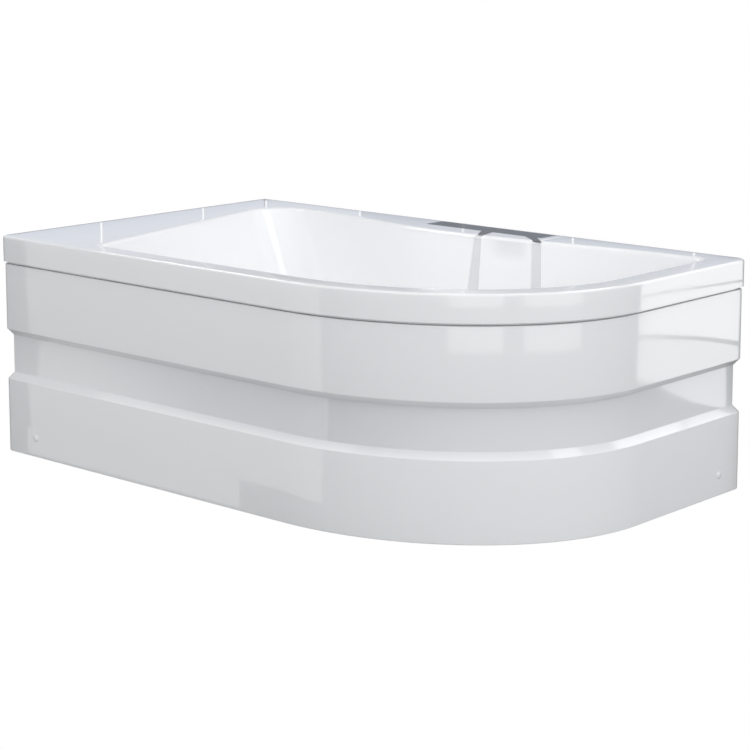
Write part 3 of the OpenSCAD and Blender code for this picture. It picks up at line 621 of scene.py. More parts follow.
overflowLean = math.radians(bath["drafts"]["end"])
overflowAxis = Vector((math.cos(overflowLean), 0, -math.sin(overflowLean)))
# radius, and how far each hole is cut on either side of the wall's face
overflowCuts = {"shell": (0.020, -0.02, 0.03), "backing": (0.021, -0.02, 0.04)}


# A round bar between two distances along an axis
def rod(name, radius, place, axis, start, end, sides):
    axis = Vector(axis)
    obj = primitive(bpy.ops.mesh.primitive_cylinder_add, name,
                    vertices=sides, radius=radius, depth=end - start)
    aim(obj, Vector(place) + axis * (start + end) / 2, axis)
    return obj


def overflowRod(name, radius, start, end):
    inset = wallInset(bath["overflow"][1], bath["drafts"]["end"], bath["toeRadius"], 0)
    place = (halfL - bath["deckEnd"] - inset, *bath["overflow"])
    return rod(name, radius, place, overflowAxis, start, end, 48)


panel = {
    "setBack": 0.004, "thickness": 0.004, "gap": 0.006, "clear": 0.003,
    "bandTop": 0.298, "bandBottom": 0.178, "bandDepth": 0.015, "bandSlope": 45,
    "outerRound": 0.0028, "innerRound": 0.0012,
    "return": 0.062, "endReturn": 0.028, "screwZ": 0.050, "washerRadius": 0.0085, "screwHole": 0.003,
}
panelSteps = {"round": 4, "corner": 12, "front": 24, "curve": 120, "end": 8}


# A chain of points with its inner corners rounded by a radius, none past the middle of a side
def roundChain(points, radius):
    chain, count = [points[0]], panelSteps["round"]
    most = 0.45             # share of a side that a corner may take
    for before, at, after in zip(points, points[1:], points[2:]):
        a, b = Vector(before) - Vector(at), Vector(after) - Vector(at)
        half = a.angle(b) / 2
        reach = min(radius / math.tan(half), a.length * most, b.length * most)
        start, end = Vector(at) + a.normalized() * reach, Vector(at) + b.normalized() * reach
        for i in range(count + 1):
            share = i / count
            first, second = start.lerp(Vector(at), share), Vector(at).lerp(end, share)
            chain.append(tuple(first.lerp(second, share)))
    return chain + [points[-1]]


def panelSection():
    p = panel
    t, low = p["thickness"], p["clear"]
    top = bath["height"] - bath["apron"] - p["gap"]
    deep, bevel = p["bandDepth"] + t, t * math.tan(math.radians(p["bandSlope"] / 2))
    bandLow, bandHigh = p["bandBottom"] + p["bandDepth"], p["bandTop"] - p["bandDepth"]
    outside = [(deep, low), (0, low), (0, p["bandBottom"]), (p["bandDepth"], bandLow),
               (p["bandDepth"], bandHigh), (0, p["bandTop"]), (0, top), (deep, top)]
    inside = [(deep, low + t), (t, low + t), (t, p["bandBottom"] - bevel), (deep, bandLow - bevel),
              (deep, bandHigh + bevel), (t, p["bandTop"] + bevel), (t, top - t), (deep, top - t)]
    return roundChain(outside, p["outerRound"]) + roundChain(inside, p["innerRound"])[::-1]


# Each station round the panel: its place and the way it faces, as x and y
def cornerStations(x, y, r, start):
    count = panelSteps["corner"]
    turns = [math.radians(start + 90 * i / count) for i in range(count + 1)]
    return [(x + r * math.cos(t), y + r * math.sin(t), math.cos(t), math.sin(t)) for t in turns]


def panelStations():
    back = panel["setBack"]
    r = bath["cornerRadius"] - back
    across, deep = halfL - bath["cornerRadius"], halfW - bath["cornerRadius"]
    rx, ry = bath["curveLength"] - back, bath["curveWidth"] - back
    stations = [(back - halfL, panel["return"] - halfW, -1, 0), *cornerStations(-across, -deep, r, 180)]
    front = stations[-1]
    stations += [(x, y, 0, -1) for x, y in between(front, (curveX, front[1]), panelSteps["front"])]
    for i in range(panelSteps["curve"] + 1):
        t = math.radians(mix(270, 360, i / panelSteps["curve"]))
        normal = Vector((math.cos(t) / rx, math.sin(t) / ry)).normalized()
        stations.append((curveX + rx * math.cos(t), curveY + ry * math.sin(t), *normal))
    last = stations[-1]
    stations += [(x, y, 1, 0) for x, y in between(last, (last[0], deep), panelSteps["end"])]
    return stations + cornerStations(across, deep, r, 0) + [(halfL - panel["endReturn"], halfW - back, 0, 1)]


def makePanel(material):
    print("front panel")
    section = panelSection()
    loops = [[(x - d * nx, y - d * ny, z) for d, z in section] for x, y, nx, ny in panelStations()]
    piece = loftLoops("frontPanel", loops)
    fillEnds(piece, len(section))
    outward(piece)
    for place, axis in screwPlaces():
        cutWith(piece, rod("screwHole", panel["screwHole"], place, axis, -clearCut, clearCut, 32))
    smooth(piece, 25)
    markPaintedShade(piece, paintedBandShadow)
    finishPiece(piece, "bath", "panel_acrylic", material, "front_panel")


# Painted shadow in the front panel's set-back band
bandShading = {
    # grey: how dark the painted shadow is at its fullest
    "grey": 0.8,
    "foot": (0.012, 0.003),                 # how far above the band's foot it starts, and over what height
    "head": 0.012,
    "front": (-0.55, 0.6),                  # where it starts along X, and over what length it comes in
    "curve": (0.3, 0.3), "round": 0.6,      # where the curve starts, and the share left round it
}


# Painted shadow: the set-back band is painted darker than the faces, as the shadow of the face above it,
# most of all where the curve starts
def paintedBandShadow(x, y, z):
    b = bandShading
    foot = smoothStep((z - panel["bandBottom"] - b["foot"][0]) / b["foot"][1])
    head = smoothStep((panel["bandTop"] - z) / b["head"])
    front, curve = (smoothStep((x - b[key][0]) / b[key][1]) for key in ("front", "curve"))
    return b["grey"] * foot * head * front * mix(1, b["round"], curve)


def screwPlaces():
    (low, high), r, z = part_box("cap_washers"), panel["washerRadius"], panel["screwZ"]
    return [((low.x + r, panel["setBack"] - halfW, z), (0, -1, 0)),
            ((halfL - panel["setBack"], high.y - r, z), (1, 0, 0))]


def makePlate(material):
    print("column plate")
    top = bath["height"] - plate["below"]
    piece = slab("columnPlate", plateOutline(0), top - plate["thickness"], top)
    softEdges(piece, plate["edge"], 3, 40)
    smooth(piece, 30)
    finishPiece(piece, "bath", "grey_plate", material, "column_seat")


# The sprayed skin under the basin follows the shell, 4 mm thick and a little uneven

backing = {
    "thickness": 0.004,
    "flange": 0.012,        # how far it turns in over the base board
    "bore": 0.028,
    "lumpSize": 0.045,
    "lumpHeight": 0.0014,
}


def makeBacking(material):
    print("fibre backing")
    inner, outer = bath["shell"], bath["shell"] + backing["thickness"]
    top, boardTop = bath["height"] - bath["lipRadius"], bath["wasteZ"] - outer
    foot = [inset + backing["flange"] for inset in wallInsets(bath["floorZ"] - outer, outer)]
    outside = [wallLoop(z, outer) for z in [top] + wallHeights(outer)]
    inside = [wallLoop(z, inner) for z in [top] + wallHeights(inner)]
    loops = [pressChannels(loop, 0) for loop in outside]
    loops.append(lift(openingOutline(*foot, 1, 0), boardTop))
    loops.append(floorLoop(outer, 1, boardTop, backing["bore"]))
    loops.append(floorLoop(inner, 1, bath["wasteZ"] - inner, backing["bore"]))
    loops += [pressChannels(loop, 0) for loop in reversed(inside)]
    skin = loftLoops("fibreBacking", loops)
    count, total = len(loops[0]), len(skin.data.vertices)
    selectVertices(skin, [i < count or i >= total - count for i in range(total)])
    inEditMode(skin, bpy.ops.mesh.bridge_edge_loops)
    outward(skin)
    lumps = bpy.data.textures.new("sprayLumps", "CLOUDS")
    lumps.noise_scale = backing["lumpSize"]
    applyModifier(skin, "DISPLACE", texture=lumps, strength=backing["lumpHeight"],
                  mid_level=0.5, texture_coords="LOCAL")
    cutWith(skin, overflowRod("backingHole", *overflowCuts["backing"]))
    smooth(skin, 50)
    finishPiece(skin, "bath", "glass_fibre", material, "glass_fibre_backing")


# A node's own shape, merged, with its sharp edges eased

def mergedCopy(node, name):
    source = nodes[node]
    hidden = source.hide_viewport
    source.hide_viewport = False
    copy = copyOf(source, name)
    source.hide_viewport = hidden
    copy.parent = None
    inEditMode(copy, selectAll, mergeDoubles,
               lambda: bpy.ops.mesh.dissolve_limited(angle_limit=math.radians(0.5)))
    return copy


slotOf = {part["node"]: part["material_slot"] for part in frame["record"]["subparts"]}


def ease(node, body, material, width, segments):
    piece = mergedCopy(node, pieceName(node))
    softEdges(piece, width, segments)
    smooth(piece, 32)
    finishPiece(piece, body, slotOf[node], material, node)


# The separate solids of a node, each as its lowest and highest corner
def solidsOf(node):
    copy = mergedCopy(node, "solids")
    inEditMode(copy, selectAll, lambda: bpy.ops.mesh.separate(type="LOOSE"))
    boxes = []
    for part in list(bpy.context.selected_objects):
        corners = [v.co for v in part.data.vertices]
        low = Vector([min(c[i] for c in corners) for i in range(3)])
        high = Vector([max(c[i] for c in corners) for i in range(3)])
        boxes.append((low, high))
        bpy.data.objects.remove(part)
    return sorted(boxes, key=lambda b: (round(b[0].x, 3), round(b[0].y, 3)))


# Steel frame: eased tubes, with a weld along each joint

weld = {
    "radius": 0.0023, "ripple": 0.16, "ring": 0.0022, "sides": 8,
    "end": 0.5,             # share of its radius that a bead ends with
    "railWidth": 0.03, "nearRail": 0.005, "backHalf": 0.2,
}


def weldBead(start, end):
    start, end = Vector(start), Vector(end)
    way = end - start
    rings = max(3, round(way.length / weld["ring"]))
    side = way.orthogonal().normalized()
    up = way.normalized().cross(side)
    loops = []
    for i in range(rings + 1):
        share = i / rings
        r = weld["radius"] * (1 + weld["ripple"] * math.cos(math.pi * i))
        if i in (0, rings):
            r *= weld["end"]
        turns = [2 * math.pi * k / weld["sides"] for k in range(weld["sides"])]
        loops.append([tuple(start + way * share + side * r * math.cos(t) + up * r * math.sin(t))
                      for t in turns])
    bead = loftLoops("bead", loops)
    fillEnds(bead, weld["sides"])
    outward(bead)
    return bead


def makeWelds(material):
    print("welds")
    beads, inset = [], weld["radius"]
    tubes = [b for node in ("cross_rails", "end_rails", "bearer_rail") for b in solidsOf(node)]
    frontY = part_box("long_rails")[0].y + weld["railWidth"]
    for low, high in tubes:
        ends = [(x, y) for x in (low.x, high.x) for y in (low.y, high.y)]
        if high.y - low.y > high.x - low.x and low.y >= frontY + weld["nearRail"]:
            ends = [(x, y) for x, y in ends if y > weld["backHalf"]]    # its front end meets no rail
        beads += [weldBead((x, y, low.z + inset), (x, y, high.z - inset)) for x, y in ends]
    for low, high in solidsOf("rim_posts"):
        corners = [(low.x, low.y), (high.x, low.y), (high.x, high.y), (low.x, high.y)]
        for a, b in zip(corners, corners[1:] + corners[:1]):
            beads.append(weldBead((*a, low.z), (*b, low.z)))
    piece = join("weldBeads", beads)
    smooth(piece, 60)
    finishPiece(piece, "bath", "frame_steel", material)


# Fasteners: one screw and one nut are modelled, then copied to every place

screw = {
    "shank": 0.0024, "tip": 0.3, "point": 0.004,
    "head": 0.005, "dome": 0.002, "edge": (0.0004, 0.0003),
    "domeShares": [(0.92, 0.7), (0.7, 0.93), (0.3, 1)],
    "slot": (0.0056, 0.0011, 0.0024),
}


def panScrew(length):
    d = screw
    head = [(d["head"] - d["edge"][0], 0), (d["head"], -d["edge"][1])]
    head += [(d["head"] * out, -d["dome"] * up) for out, up in d["domeShares"]]
    shank = [(d["shank"] * d["tip"], length), (d["shank"], length - d["point"]), (d["shank"], 0)]
    piece = turned("screw", shank + head, 32)
    for turn in (0, math.pi / 2):
        slot = primitive(bpy.ops.mesh.primitive_cube_add, "slot", size=1, rotation=(0, 0, turn),
                         location=(0, 0, -d["dome"]), scale=d["slot"])
        settle(slot)
        cutWith(piece, slot)
    return piece


# The copies of a fastener, each at its place, become one piece that stands for the node
def placeCopies(node, first, places, degrees, material):
    copies = [copyOf(first, "copy", place) for place in places]
    bpy.data.objects.remove(first)
    piece = join(pieceName(node), copies)
    smooth(piece, degrees)
    finishPiece(piece, "bath", slotOf[node], material, node)


def makeScrews(node, material):
    print(pieceName(node))
    boxes = solidsOf(node)
    low, high = boxes[0]
    first = panScrew(high.z - low.z - screw["dome"])
    places = [((a.x + b.x) / 2, (a.y + b.y) / 2, a.z + screw["dome"]) for a, b in boxes]
    placeCopies(node, first, places, 40, material)


nut = {"across": 0.018, "bore": 0.0063, "chamfer": 0.0008, "slope": 2.4, "past": 0.001}


def makeNuts(node, material):
    print(pieceName(node))
    boxes = solidsOf(node)
    height = boxes[0][1].z - boxes[0][0].z
    corner = nut["across"] / math.sqrt(3)
    first = primitive(bpy.ops.mesh.primitive_cylinder_add, "nut", vertices=6, radius=corner,
                      depth=height, location=(0, 0, height / 2))
    settle(first)
    c, bore, past = nut["chamfer"], nut["bore"], nut["past"]
    face = corner - nut["slope"] * c
    cone = [(face, 0), (corner, c), (corner, height - c), (face, height)]
    cutWith(first, turned("nutCone", cone, 72), "INTERSECT")
    hole = [(bore + c, -past), (bore + c, 0), (bore, c), (bore, height - c), (bore + c, height),
            (bore + c, height + past)]
    cutWith(first, turned("nutBore", hole, 48))
    places = [((a.x + b.x) / 2, (a.y + b.y) / 2, a.z) for a, b in boxes]
    placeCopies(node, first, places, 25, material)


# Feet: a stud with a real helical thread, its hex collar, and a ribbed pad

foot = {
    "radius": 0.006,
    "root": 0.0052,
    "pitch": 0.00175,
    "crest": (0.44, 0.56),  # where the crest lies, as shares of the pitch
    "threadSteps": 28,      # around one turn
    "bottom": 0.008,
    "top": 0.080,
    "collarRadius": 0.009,
    "collarEdge": 0.0006,
    "collar": (0.016, 0.022),
}


# The thread starts two turns below the stud and ends past its top, and is then cut to length
def makeStud():
    p = foot["pitch"]
    turns = math.ceil((foot["top"] - foot["bottom"]) / p) + 3
    flank = []
    for i in range(turns):
        z = foot["bottom"] + (i - 2) * p
        flank += [(foot["root"], z), *((foot["radius"], z + share * p) for share in foot["crest"])]
    flank.append((foot["root"], foot["bottom"] + (turns - 2) * p))
    stud = primitive(bpy.ops.mesh.primitive_circle_add, "stud", vertices=len(flank), radius=0.1)
    for i, (r, z) in enumerate(flank):
        stud.data.vertices[i].co = (r, 0, z)
    openChain(stud)
    applyModifier(stud, "SCREW", screw_offset=p, angle=2 * math.pi, steps=foot["threadSteps"],
                  render_steps=foot["threadSteps"], use_merge_vertices=True,
                  merge_threshold=2 * tiny, use_smooth_shade=False)
    outward(stud)
    for z, side in ((foot["bottom"], -1), (foot["top"], 1)):
        inEditMode(stud, selectAll, lambda: bpy.ops.mesh.bisect(
            plane_co=(0, 0, z), plane_no=(0, 0, side), use_fill=True, clear_outer=True))
    collar = primitive(bpy.ops.mesh.primitive_cylinder_add, "collar", vertices=6,
                       radius=foot["collarRadius"], depth=foot["collar"][1] - foot["collar"][0],
                       location=(0, 0, sum(foot["collar"]) / 2))
    settle(collar)
    softEdges(collar, foot["collarEdge"])
    stud = join("stud", [stud, collar])
    outward(stud)
    return stud


# The closing edge of a loop, from its last point to its first, is taken out
def openChain(obj):
    last = len(obj.data.vertices) - 1
    mesh = obj.data
    mesh.vertices.foreach_set("select", [False] * (last + 1))
    mesh.edges.foreach_set("select", [set(e.vertices) == {0, last} for e in mesh.edges])
    pickUp(obj)
    bpy.ops.object.mode_set(mode="EDIT")
    bpy.ops.mesh.select_mode(type="EDGE")
    bpy.ops.mesh.delete(type="EDGE_FACE")
    bpy.ops.object.mode_set(mode="OBJECT")


padShape = {
    # radius and height, from the rings underneath round to the socket
    "outline": [(0.006, 0.0006), (0.010, 0.0006), (0.0105, 0), (0.013, 0), (0.0135, 0.0006),
                (0.017, 0.0006), (0.0175, 0), (0.0243, 0), (0.0248, 0.0003), (0.025, 0.001),
                (0.025, 0.0038), (0.0246, 0.0046), (0.015, 0.0092), (0.0125, 0.0108),
                (0.0112, 0.0128), (0.011, 0.0155), (0.0106, 0.016), (0.0066, 0.016),
                (0.0062, 0.0156), (0.0062, 0.0082), (0.004, 0.0080)],
    "ribs": 8,
    "rib": [(0.010, 0.009), (0.0235, 0.0045), (0.0215, 0.0072), (0.0118, 0.0138), (0.010, 0.0138)],
    "ribThickness": 0.0016,
}


def makePad():
    thick, pieces = padShape["ribThickness"], [turned("pad", padShape["outline"], 72)]
    for i in range(padShape["ribs"]):
        rib = thickened("rib", [(x, -thick / 2, z) for x, z in padShape["rib"]], (0, thick, 0))
        rib.rotation_euler = (0, 0, 2 * math.pi * i / padShape["ribs"])
        settle(rib)
        pieces.append(rib)
    return join("pad", pieces)


def makeFeet(steel, plastic):
    print("feet")
    stud, pad = makeStud(), makePad()
    for i in range(1, 7):
        low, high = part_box(f"foot_pad_{i}")
        x, y = (low.x + high.x) / 2, (low.y + high.y) / 2
        for first, kind, slot, material in ((stud, "foot_stud", "stud_steel", steel),
                                            (pad, "foot_pad", "pad_plastic", plastic)):
            piece = copyOf(first, pieceName(f"{kind}_{i}"), (x, y, 0))
            smooth(piece, 30)
            finishPiece(piece, f"foot_{i}", slot, material, f"{kind}_{i}")
    bpy.data.objects.remove(stud)
    bpy.data.objects.remove(pad)


# Control cable, along the same route as its node

cableRoute = [
    (0.706, 0.215, 0.446), (0.706, 0.220, 0.445), (0.705, 0.225, 0.438), (0.704, 0.227, 0.426),
    (0.702, 0.226, 0.405), (0.699, 0.224, 0.380), (0.695, 0.224, 0.340), (0.688, 0.224, 0.300),
    (0.680, 0.224, 0.250), (0.671, 0.224, 0.200), (0.662, 0.224, 0.150), (0.656, 0.222, 0.118),
    (0.647, 0.214, 0.096), (0.635, 0.205, 0.084), (0.619, 0.196, 0.080), (0.588, 0.171, 0.078),
    (0.557, 0.146, 0.078), (0.530, 0.124, 0.079), (0.508, 0.108, 0.080), (0.494, 0.098, 0.080),
    (0.487, 0.087, 0.080),
]
cableRadius = 0.0024


def makeCable(material):
    print("cable")
    line = bpy.data.curves.new("plugCable", "CURVE")
    line.dimensions = "3D"
    run = line.splines.new("NURBS")
    run.points.add(len(cableRoute) - 1)
    for point, place in zip(run.points, cableRoute):
        point.co = (*place, 1)
    run.order_u = 3
    run.use_endpoint_u = True
    run.resolution_u = 6
    line.bevel_depth = cableRadius
    line.bevel_resolution = 3
    line.use_fill_caps = True
    piece = bpy.data.objects.new("plugCable", line)
    bpy.context.scene.collection.objects.link(piece)
    pickUp(piece)
    bpy.ops.object.convert(target="MESH")
    piece = bpy.context.active_object
    outward(piece)
    smooth(piece, 60)
    finishPiece(piece, "bath", "cable_sheath", material, "plug_cable")


# Materials. Heights are in metres, so one Bump node with a distance of 1 serves each material.

def addNode(tree, kind, **values):
    node = tree.nodes.new(kind)
    for key, value in values.items():
        if key in node.inputs:
            feed(tree, node.inputs[key], value)
        else:
            setattr(node, key, value)
    return node


def feed(tree, socket, value):
    if isinstance(value, bpy.types.NodeSocket):
        tree.links.new(value, socket)
    else:
        socket.default_value = value


def calculate(tree, operation, first, second=0.0):
    node = addNode(tree, "ShaderNodeMath", operation=operation)
    feed(tree, node.inputs[0], first)
    feed(tree, node.inputs[1], second)
    return node.outputs[0]


def mixColours(tree, share, first, second):
    node = addNode(tree, "ShaderNodeMix", data_type="RGBA")
    feed(tree, node.inputs["Factor"], share)
    for socket, colour in ((node.inputs[6], first), (node.inputs[7], second)):
        feed(tree, socket, (*colour, 1) if isinstance(colour, tuple) else colour)
    return node.outputs[2]


def spread(tree, value, fromLow, fromHigh, toLow=0.0, toHigh=1.0):
    node = addNode(tree, "ShaderNodeMapRange", interpolation_type="SMOOTHSTEP")
    for socket, given in zip(node.inputs, (value, fromLow, fromHigh, toLow, toHigh)):
        feed(tree, socket, given)
    return node.outputs[0]


def mixValues(tree, share, first, second):
    node = addNode(tree, "ShaderNodeMix")
    for socket, given in (("Factor", share), (2, first), (3, second)):
        feed(tree, node.inputs[socket], given)
    return node.outputs[0]


# Three values for each cell of a pattern
def cellValues(tree, place, scale):
    cells = addNode(tree, "ShaderNodeTexVoronoi", Scale=scale, Vector=place)
    return addNode(tree, "ShaderNodeSeparateColor", Color=cells.outputs["Color"]).outputs


def newGroup(name, inputs, outputs):
    group = bpy.data.node_groups.new(name, "ShaderNodeTree")
    for label, value in inputs.items():
        kind = "NodeSocketVector" if isinstance(value, tuple) else "NodeSocketFloat"
        socket = group.interface.new_socket(name=label, in_out="INPUT", socket_type=kind)
        socket.default_value = value
    for label in outputs:
        group.interface.new_socket(name=label, in_out="OUTPUT", socket_type="NodeSocketFloat")
    return group, group.nodes.new("NodeGroupInput").outputs, group.nodes.new("NodeGroupOutput").inputs


def useGroup(tree, name, **given):
    node = addNode(tree, "ShaderNodeGroup", node_tree=bpy.data.node_groups[name])
    for key, value in given.items():
        feed(tree, node.inputs[key], value)
    return node.outputs[0]


def stretchedNoise(group, place, stretch, size, detail):
    across = addNode(group, "ShaderNodeVectorMath", operation="MULTIPLY")
    feed(group, across.inputs[0], place)
    feed(group, across.inputs[1], stretch)
    noise = addNode(group, "ShaderNodeTexNoise", Detail=detail)
    feed(group, noise.inputs["Vector"], across.outputs[0])
    feed(group, noise.inputs["Scale"], calculate(group, "DIVIDE", 1.0, size))
    return noise.outputs["Fac"]


# Soft lumps and waves of a stated size and depth
def makeReliefGroup():
    given = {"Place": (0, 0, 0), "Stretch": (1, 1, 1), "Size": 0.01, "Depth": 0.0001}
    group, inputs, outputs = newGroup("relief", given, ["Height"])
    noise = stretchedNoise(group, inputs["Place"], inputs["Stretch"], inputs["Size"], 2.0)
    centred = calculate(group, "SUBTRACT", noise, 0.5)
    feed(group, outputs["Height"], calculate(group, "MULTIPLY", centred, inputs["Depth"]))


# Soft-edged patches, 0 to 1
def makePatchGroup():
    given = {"Place": (0, 0, 0), "Stretch": (1, 1, 1), "Size": 0.05, "Low": 0.45, "High": 0.65}
    group, inputs, outputs = newGroup("patches", given, ["Mask"])
    noise = stretchedNoise(group, inputs["Place"], inputs["Stretch"], inputs["Size"], 4.0)
    feed(group, outputs["Mask"], spread(group, noise, inputs["Low"], inputs["High"]))


# Fine broken scratches, 0 to 1, along a turned direction
def makeScratchGroup():
    given = {"Place": (0, 0, 0), "Turn": (0, 0, 0), "Size": 0.02, "Width": 0.012}
    group, inputs, outputs = newGroup("scratches", given, ["Mask"])
    turn = addNode(group, "ShaderNodeMapping")
    feed(group, turn.inputs["Vector"], inputs["Place"])
    feed(group, turn.inputs["Rotation"], inputs["Turn"])
    lines = stretchedNoise(group, turn.outputs[0], (1, 14, 14), inputs["Size"], 1.0)
    off = calculate(group, "ABSOLUTE", calculate(group, "SUBTRACT", lines, 0.5))
    line = spread(group, off, 0.0, inputs["Width"], 1.0, 0.0)
    broken = stretchedNoise(group, inputs["Place"], (1, 1, 1), inputs["Size"], 2.0)
    kept = spread(group, broken, 0.55, 0.65)
    feed(group, outputs["Mask"], calculate(group, "MULTIPLY", line, kept))


def newMaterial(name, rough, metal=0.0, refraction=1.5):
    material = bpy.data.materials.new(name)
    material.use_nodes = True
    tree = material.node_tree
    shader = tree.nodes["Principled BSDF"]
    for key, value in (("Roughness", rough), ("Metallic", metal), ("IOR", refraction)):
        shader.inputs[key].default_value = value
    return material, tree, shader, addNode(tree, "ShaderNodeTexCoord").outputs["Object"]


def bumpWith(tree, shader, heights):
    total = heights[0]
    for height in heights[1:]:
        total = calculate(tree, "ADD", total, height)
    bump = addNode(tree, "ShaderNodeBump", Distance=1.0, Height=total)
    tree.links.new(bump.outputs[0], shader.inputs["Normal"])


def colourWith(tree, shader, share, first, second):
    feed(tree, shader.inputs["Base Color"], mixColours(tree, share, first, second))


def roughenWith(tree, shader, share, low, high):
    feed(tree, shader.inputs["Roughness"], spread(tree, share, 0.0, 1.0, low, high))


acrylicLook = {
    "refraction": 1.49,
    # the colour of the painted shade
    "shade": (0.72, 0.73, 0.75),
    "rough": (0.075, 0.13), "wipedSize": 0.22,
    "peelSize": 0.005, "peelDepth": 0.0000035,
    "waveSize": 0.16, "waveDepth": 0.00025,
}


acrylicTones = {"whiteAcrylic": (0.925, 0.928, 0.934), "panelAcrylic": (0.89, 0.893, 0.90)}


# Glossy white sheet, thermoformed: faint peel, slow waves, wiped patches, and painted shade where the
# pressed attribute asks for it
def makeAcrylic(name, colour):
    look = acrylicLook
    material, tree, shader, place = newMaterial(name, look["rough"][0], refraction=look["refraction"])
    # The pressed attribute says how much painted shade lies on each vertex
    pressed = addNode(tree, "ShaderNodeAttribute", attribute_name="pressed").outputs["Fac"]
    wiped = useGroup(tree, "patches", Place=place, Size=look["wipedSize"])
    colourWith(tree, shader, pressed, colour, look["shade"])
    roughenWith(tree, shader, wiped, *look["rough"])
    bumpWith(tree, shader, [
        useGroup(tree, "relief", Place=place, Size=look["peelSize"], Depth=look["peelDepth"]),
        useGroup(tree, "relief", Place=place, Size=look["waveSize"], Depth=look["waveDepth"]),
    ])
    return material


fibreLook = {
    "refraction": 1.52, "rough": 0.42,
    "resin": [(0.60, 0.57, 0.46), (0.70, 0.68, 0.58)], "resinSize": 0.07,
    "strand": (0.82, 0.81, 0.76), "strandSize": 0.03, "strandWidth": 0.05, "strandDepth": 0.00018,
    "strandTurns": [(0, 0, 0), (0.4, 0.9, 1.05), (0.8, 1.8, 2.1)],
    "lumpSize": 0.012, "lumpDepth": 0.0008,
}


# Chopped glass strands laid three ways under resin
def makeFibre():
    look = fibreLook
    material, tree, shader, place = newMaterial("glassFibre", look["rough"], refraction=look["refraction"])
    strands = [useGroup(tree, "scratches", Place=place, Turn=turn, Size=look["strandSize"],
                        Width=look["strandWidth"]) for turn in look["strandTurns"]]
    total = calculate(tree, "MAXIMUM", strands[0], calculate(tree, "MAXIMUM", *strands[1:]))
    resin = useGroup(tree, "patches", Place=place, Size=look["resinSize"])
    colourWith(tree, shader, total, mixColours(tree, resin, *look["resin"]), look["strand"])
    bumpWith(tree, shader, [
        calculate(tree, "MULTIPLY", total, look["strandDepth"]),
        useGroup(tree, "relief", Place=place, Size=look["lumpSize"], Depth=look["lumpDepth"]),
    ])
    return material


chipboardLook = {
    "rough": 0.75,
    "flakes": [(0.38, 0.26, 0.14), (0.62, 0.47, 0.29)], "flakesPerMetre": 260,
    "flakeStretch": (0.45, 1.0, 1.6), "flakeDepth": 0.00012,
    "speck": (0.20, 0.12, 0.06), "speckSize": 0.002, "speckLimits": (0.6, 0.66),
    "grainSize": 0.0015, "grainDepth": 0.00008,
}


# Pressed wood flakes
def makeChipboard():
    look = chipboardLook
    material, tree, shader, place = newMaterial("chipboard", look["rough"])
    longer = addNode(tree, "ShaderNodeVectorMath", operation="MULTIPLY")
    feed(tree, longer.inputs[0], place)
    longer.inputs[1].default_value = look["flakeStretch"]
    flake = cellValues(tree, longer.outputs[0], look["flakesPerMetre"])
    low, high = look["speckLimits"]
    specks = useGroup(tree, "patches", Place=place, Size=look["speckSize"], Low=low, High=high)
    colourWith(tree, shader, specks, mixColours(tree, flake[0], *look["flakes"]), look["speck"])
    bumpWith(tree, shader, [
        calculate(tree, "MULTIPLY", flake[1], look["flakeDepth"]),
        useGroup(tree, "relief", Place=place, Size=look["grainSize"], Depth=look["grainDepth"]),
    ])
    return material


softwoodLook = {
    "rough": 0.68, "backBatten": 0.039,
    "grain": [(0.68, 0.50, 0.29), (0.50, 0.33, 0.17)], "grainSize": 0.09, "grainLimits": (0.4, 0.6),
    "sawSize": 0.012, "sawDepth": 0.00025,
    "alongY": (14, 1, 14), "alongX": (1, 14, 14),
}


# Sawn softwood, its grain along X in the back batten and along Y in the rest
def makeSoftwood():
    look = softwoodLook
    material, tree, shader, place = newMaterial("softwood", look["rough"])
    y = addNode(tree, "ShaderNodeSeparateXYZ", Vector=place).outputs["Y"]
    inBack = calculate(tree, "GREATER_THAN", y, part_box("rim_battens")[1].y - look["backBatten"])
    low, high = look["grainLimits"]
    ways = (look["alongY"], look["alongX"])
    grain = [useGroup(tree, "patches", Place=place, Stretch=way, Size=look["grainSize"], Low=low, High=high)
             for way in ways]
    saw = [useGroup(tree, "relief", Place=place, Stretch=way, Size=look["sawSize"], Depth=look["sawDepth"])
           for way in ways]
    colourWith(tree, shader, mixValues(tree, inBack, *grain), *look["grain"])
    bumpWith(tree, shader, [mixValues(tree, inBack, *saw)])
    return material


zincLook = {
    "spangles": [(0.56, 0.58, 0.61), (0.68, 0.69, 0.71)], "spanglesPerMetre": 170, "rough": (0.26, 0.42),
    "scratch": (0.78, 0.79, 0.80), "scratchTurn": (0.2, 0.5, 0.7), "scratchSize": 0.03,
    "scratchDepth": 0.00001, "waveSize": 0.006, "waveDepth": 0.00003,
}


# Zinc plate with faint spangles and rolling scratches
def makeZinc():
    look = zincLook
    material, tree, shader, place = newMaterial("zincPlate", look["rough"][0], 1.0)
    spangle = cellValues(tree, place, look["spanglesPerMetre"])
    scratch = useGroup(tree, "scratches", Place=place, Turn=look["scratchTurn"], Size=look["scratchSize"])
    colourWith(tree, shader, scratch, mixColours(tree, spangle[0], *look["spangles"]), look["scratch"])
    roughenWith(tree, shader, spangle[1], *look["rough"])
    bumpWith(tree, shader, [
        calculate(tree, "MULTIPLY", scratch, -look["scratchDepth"]),
        useGroup(tree, "relief", Place=place, Size=look["waveSize"], Depth=look["waveDepth"]),
    ])
    return material


brassLook = {
    "tones": [(0.76, 0.58, 0.28), (0.58, 0.42, 0.20)], "dullSize": 0.012, "rough": (0.18, 0.36),
    "rings": 420, "ringWander": 0.6, "ringDepth": 0.000012,
}


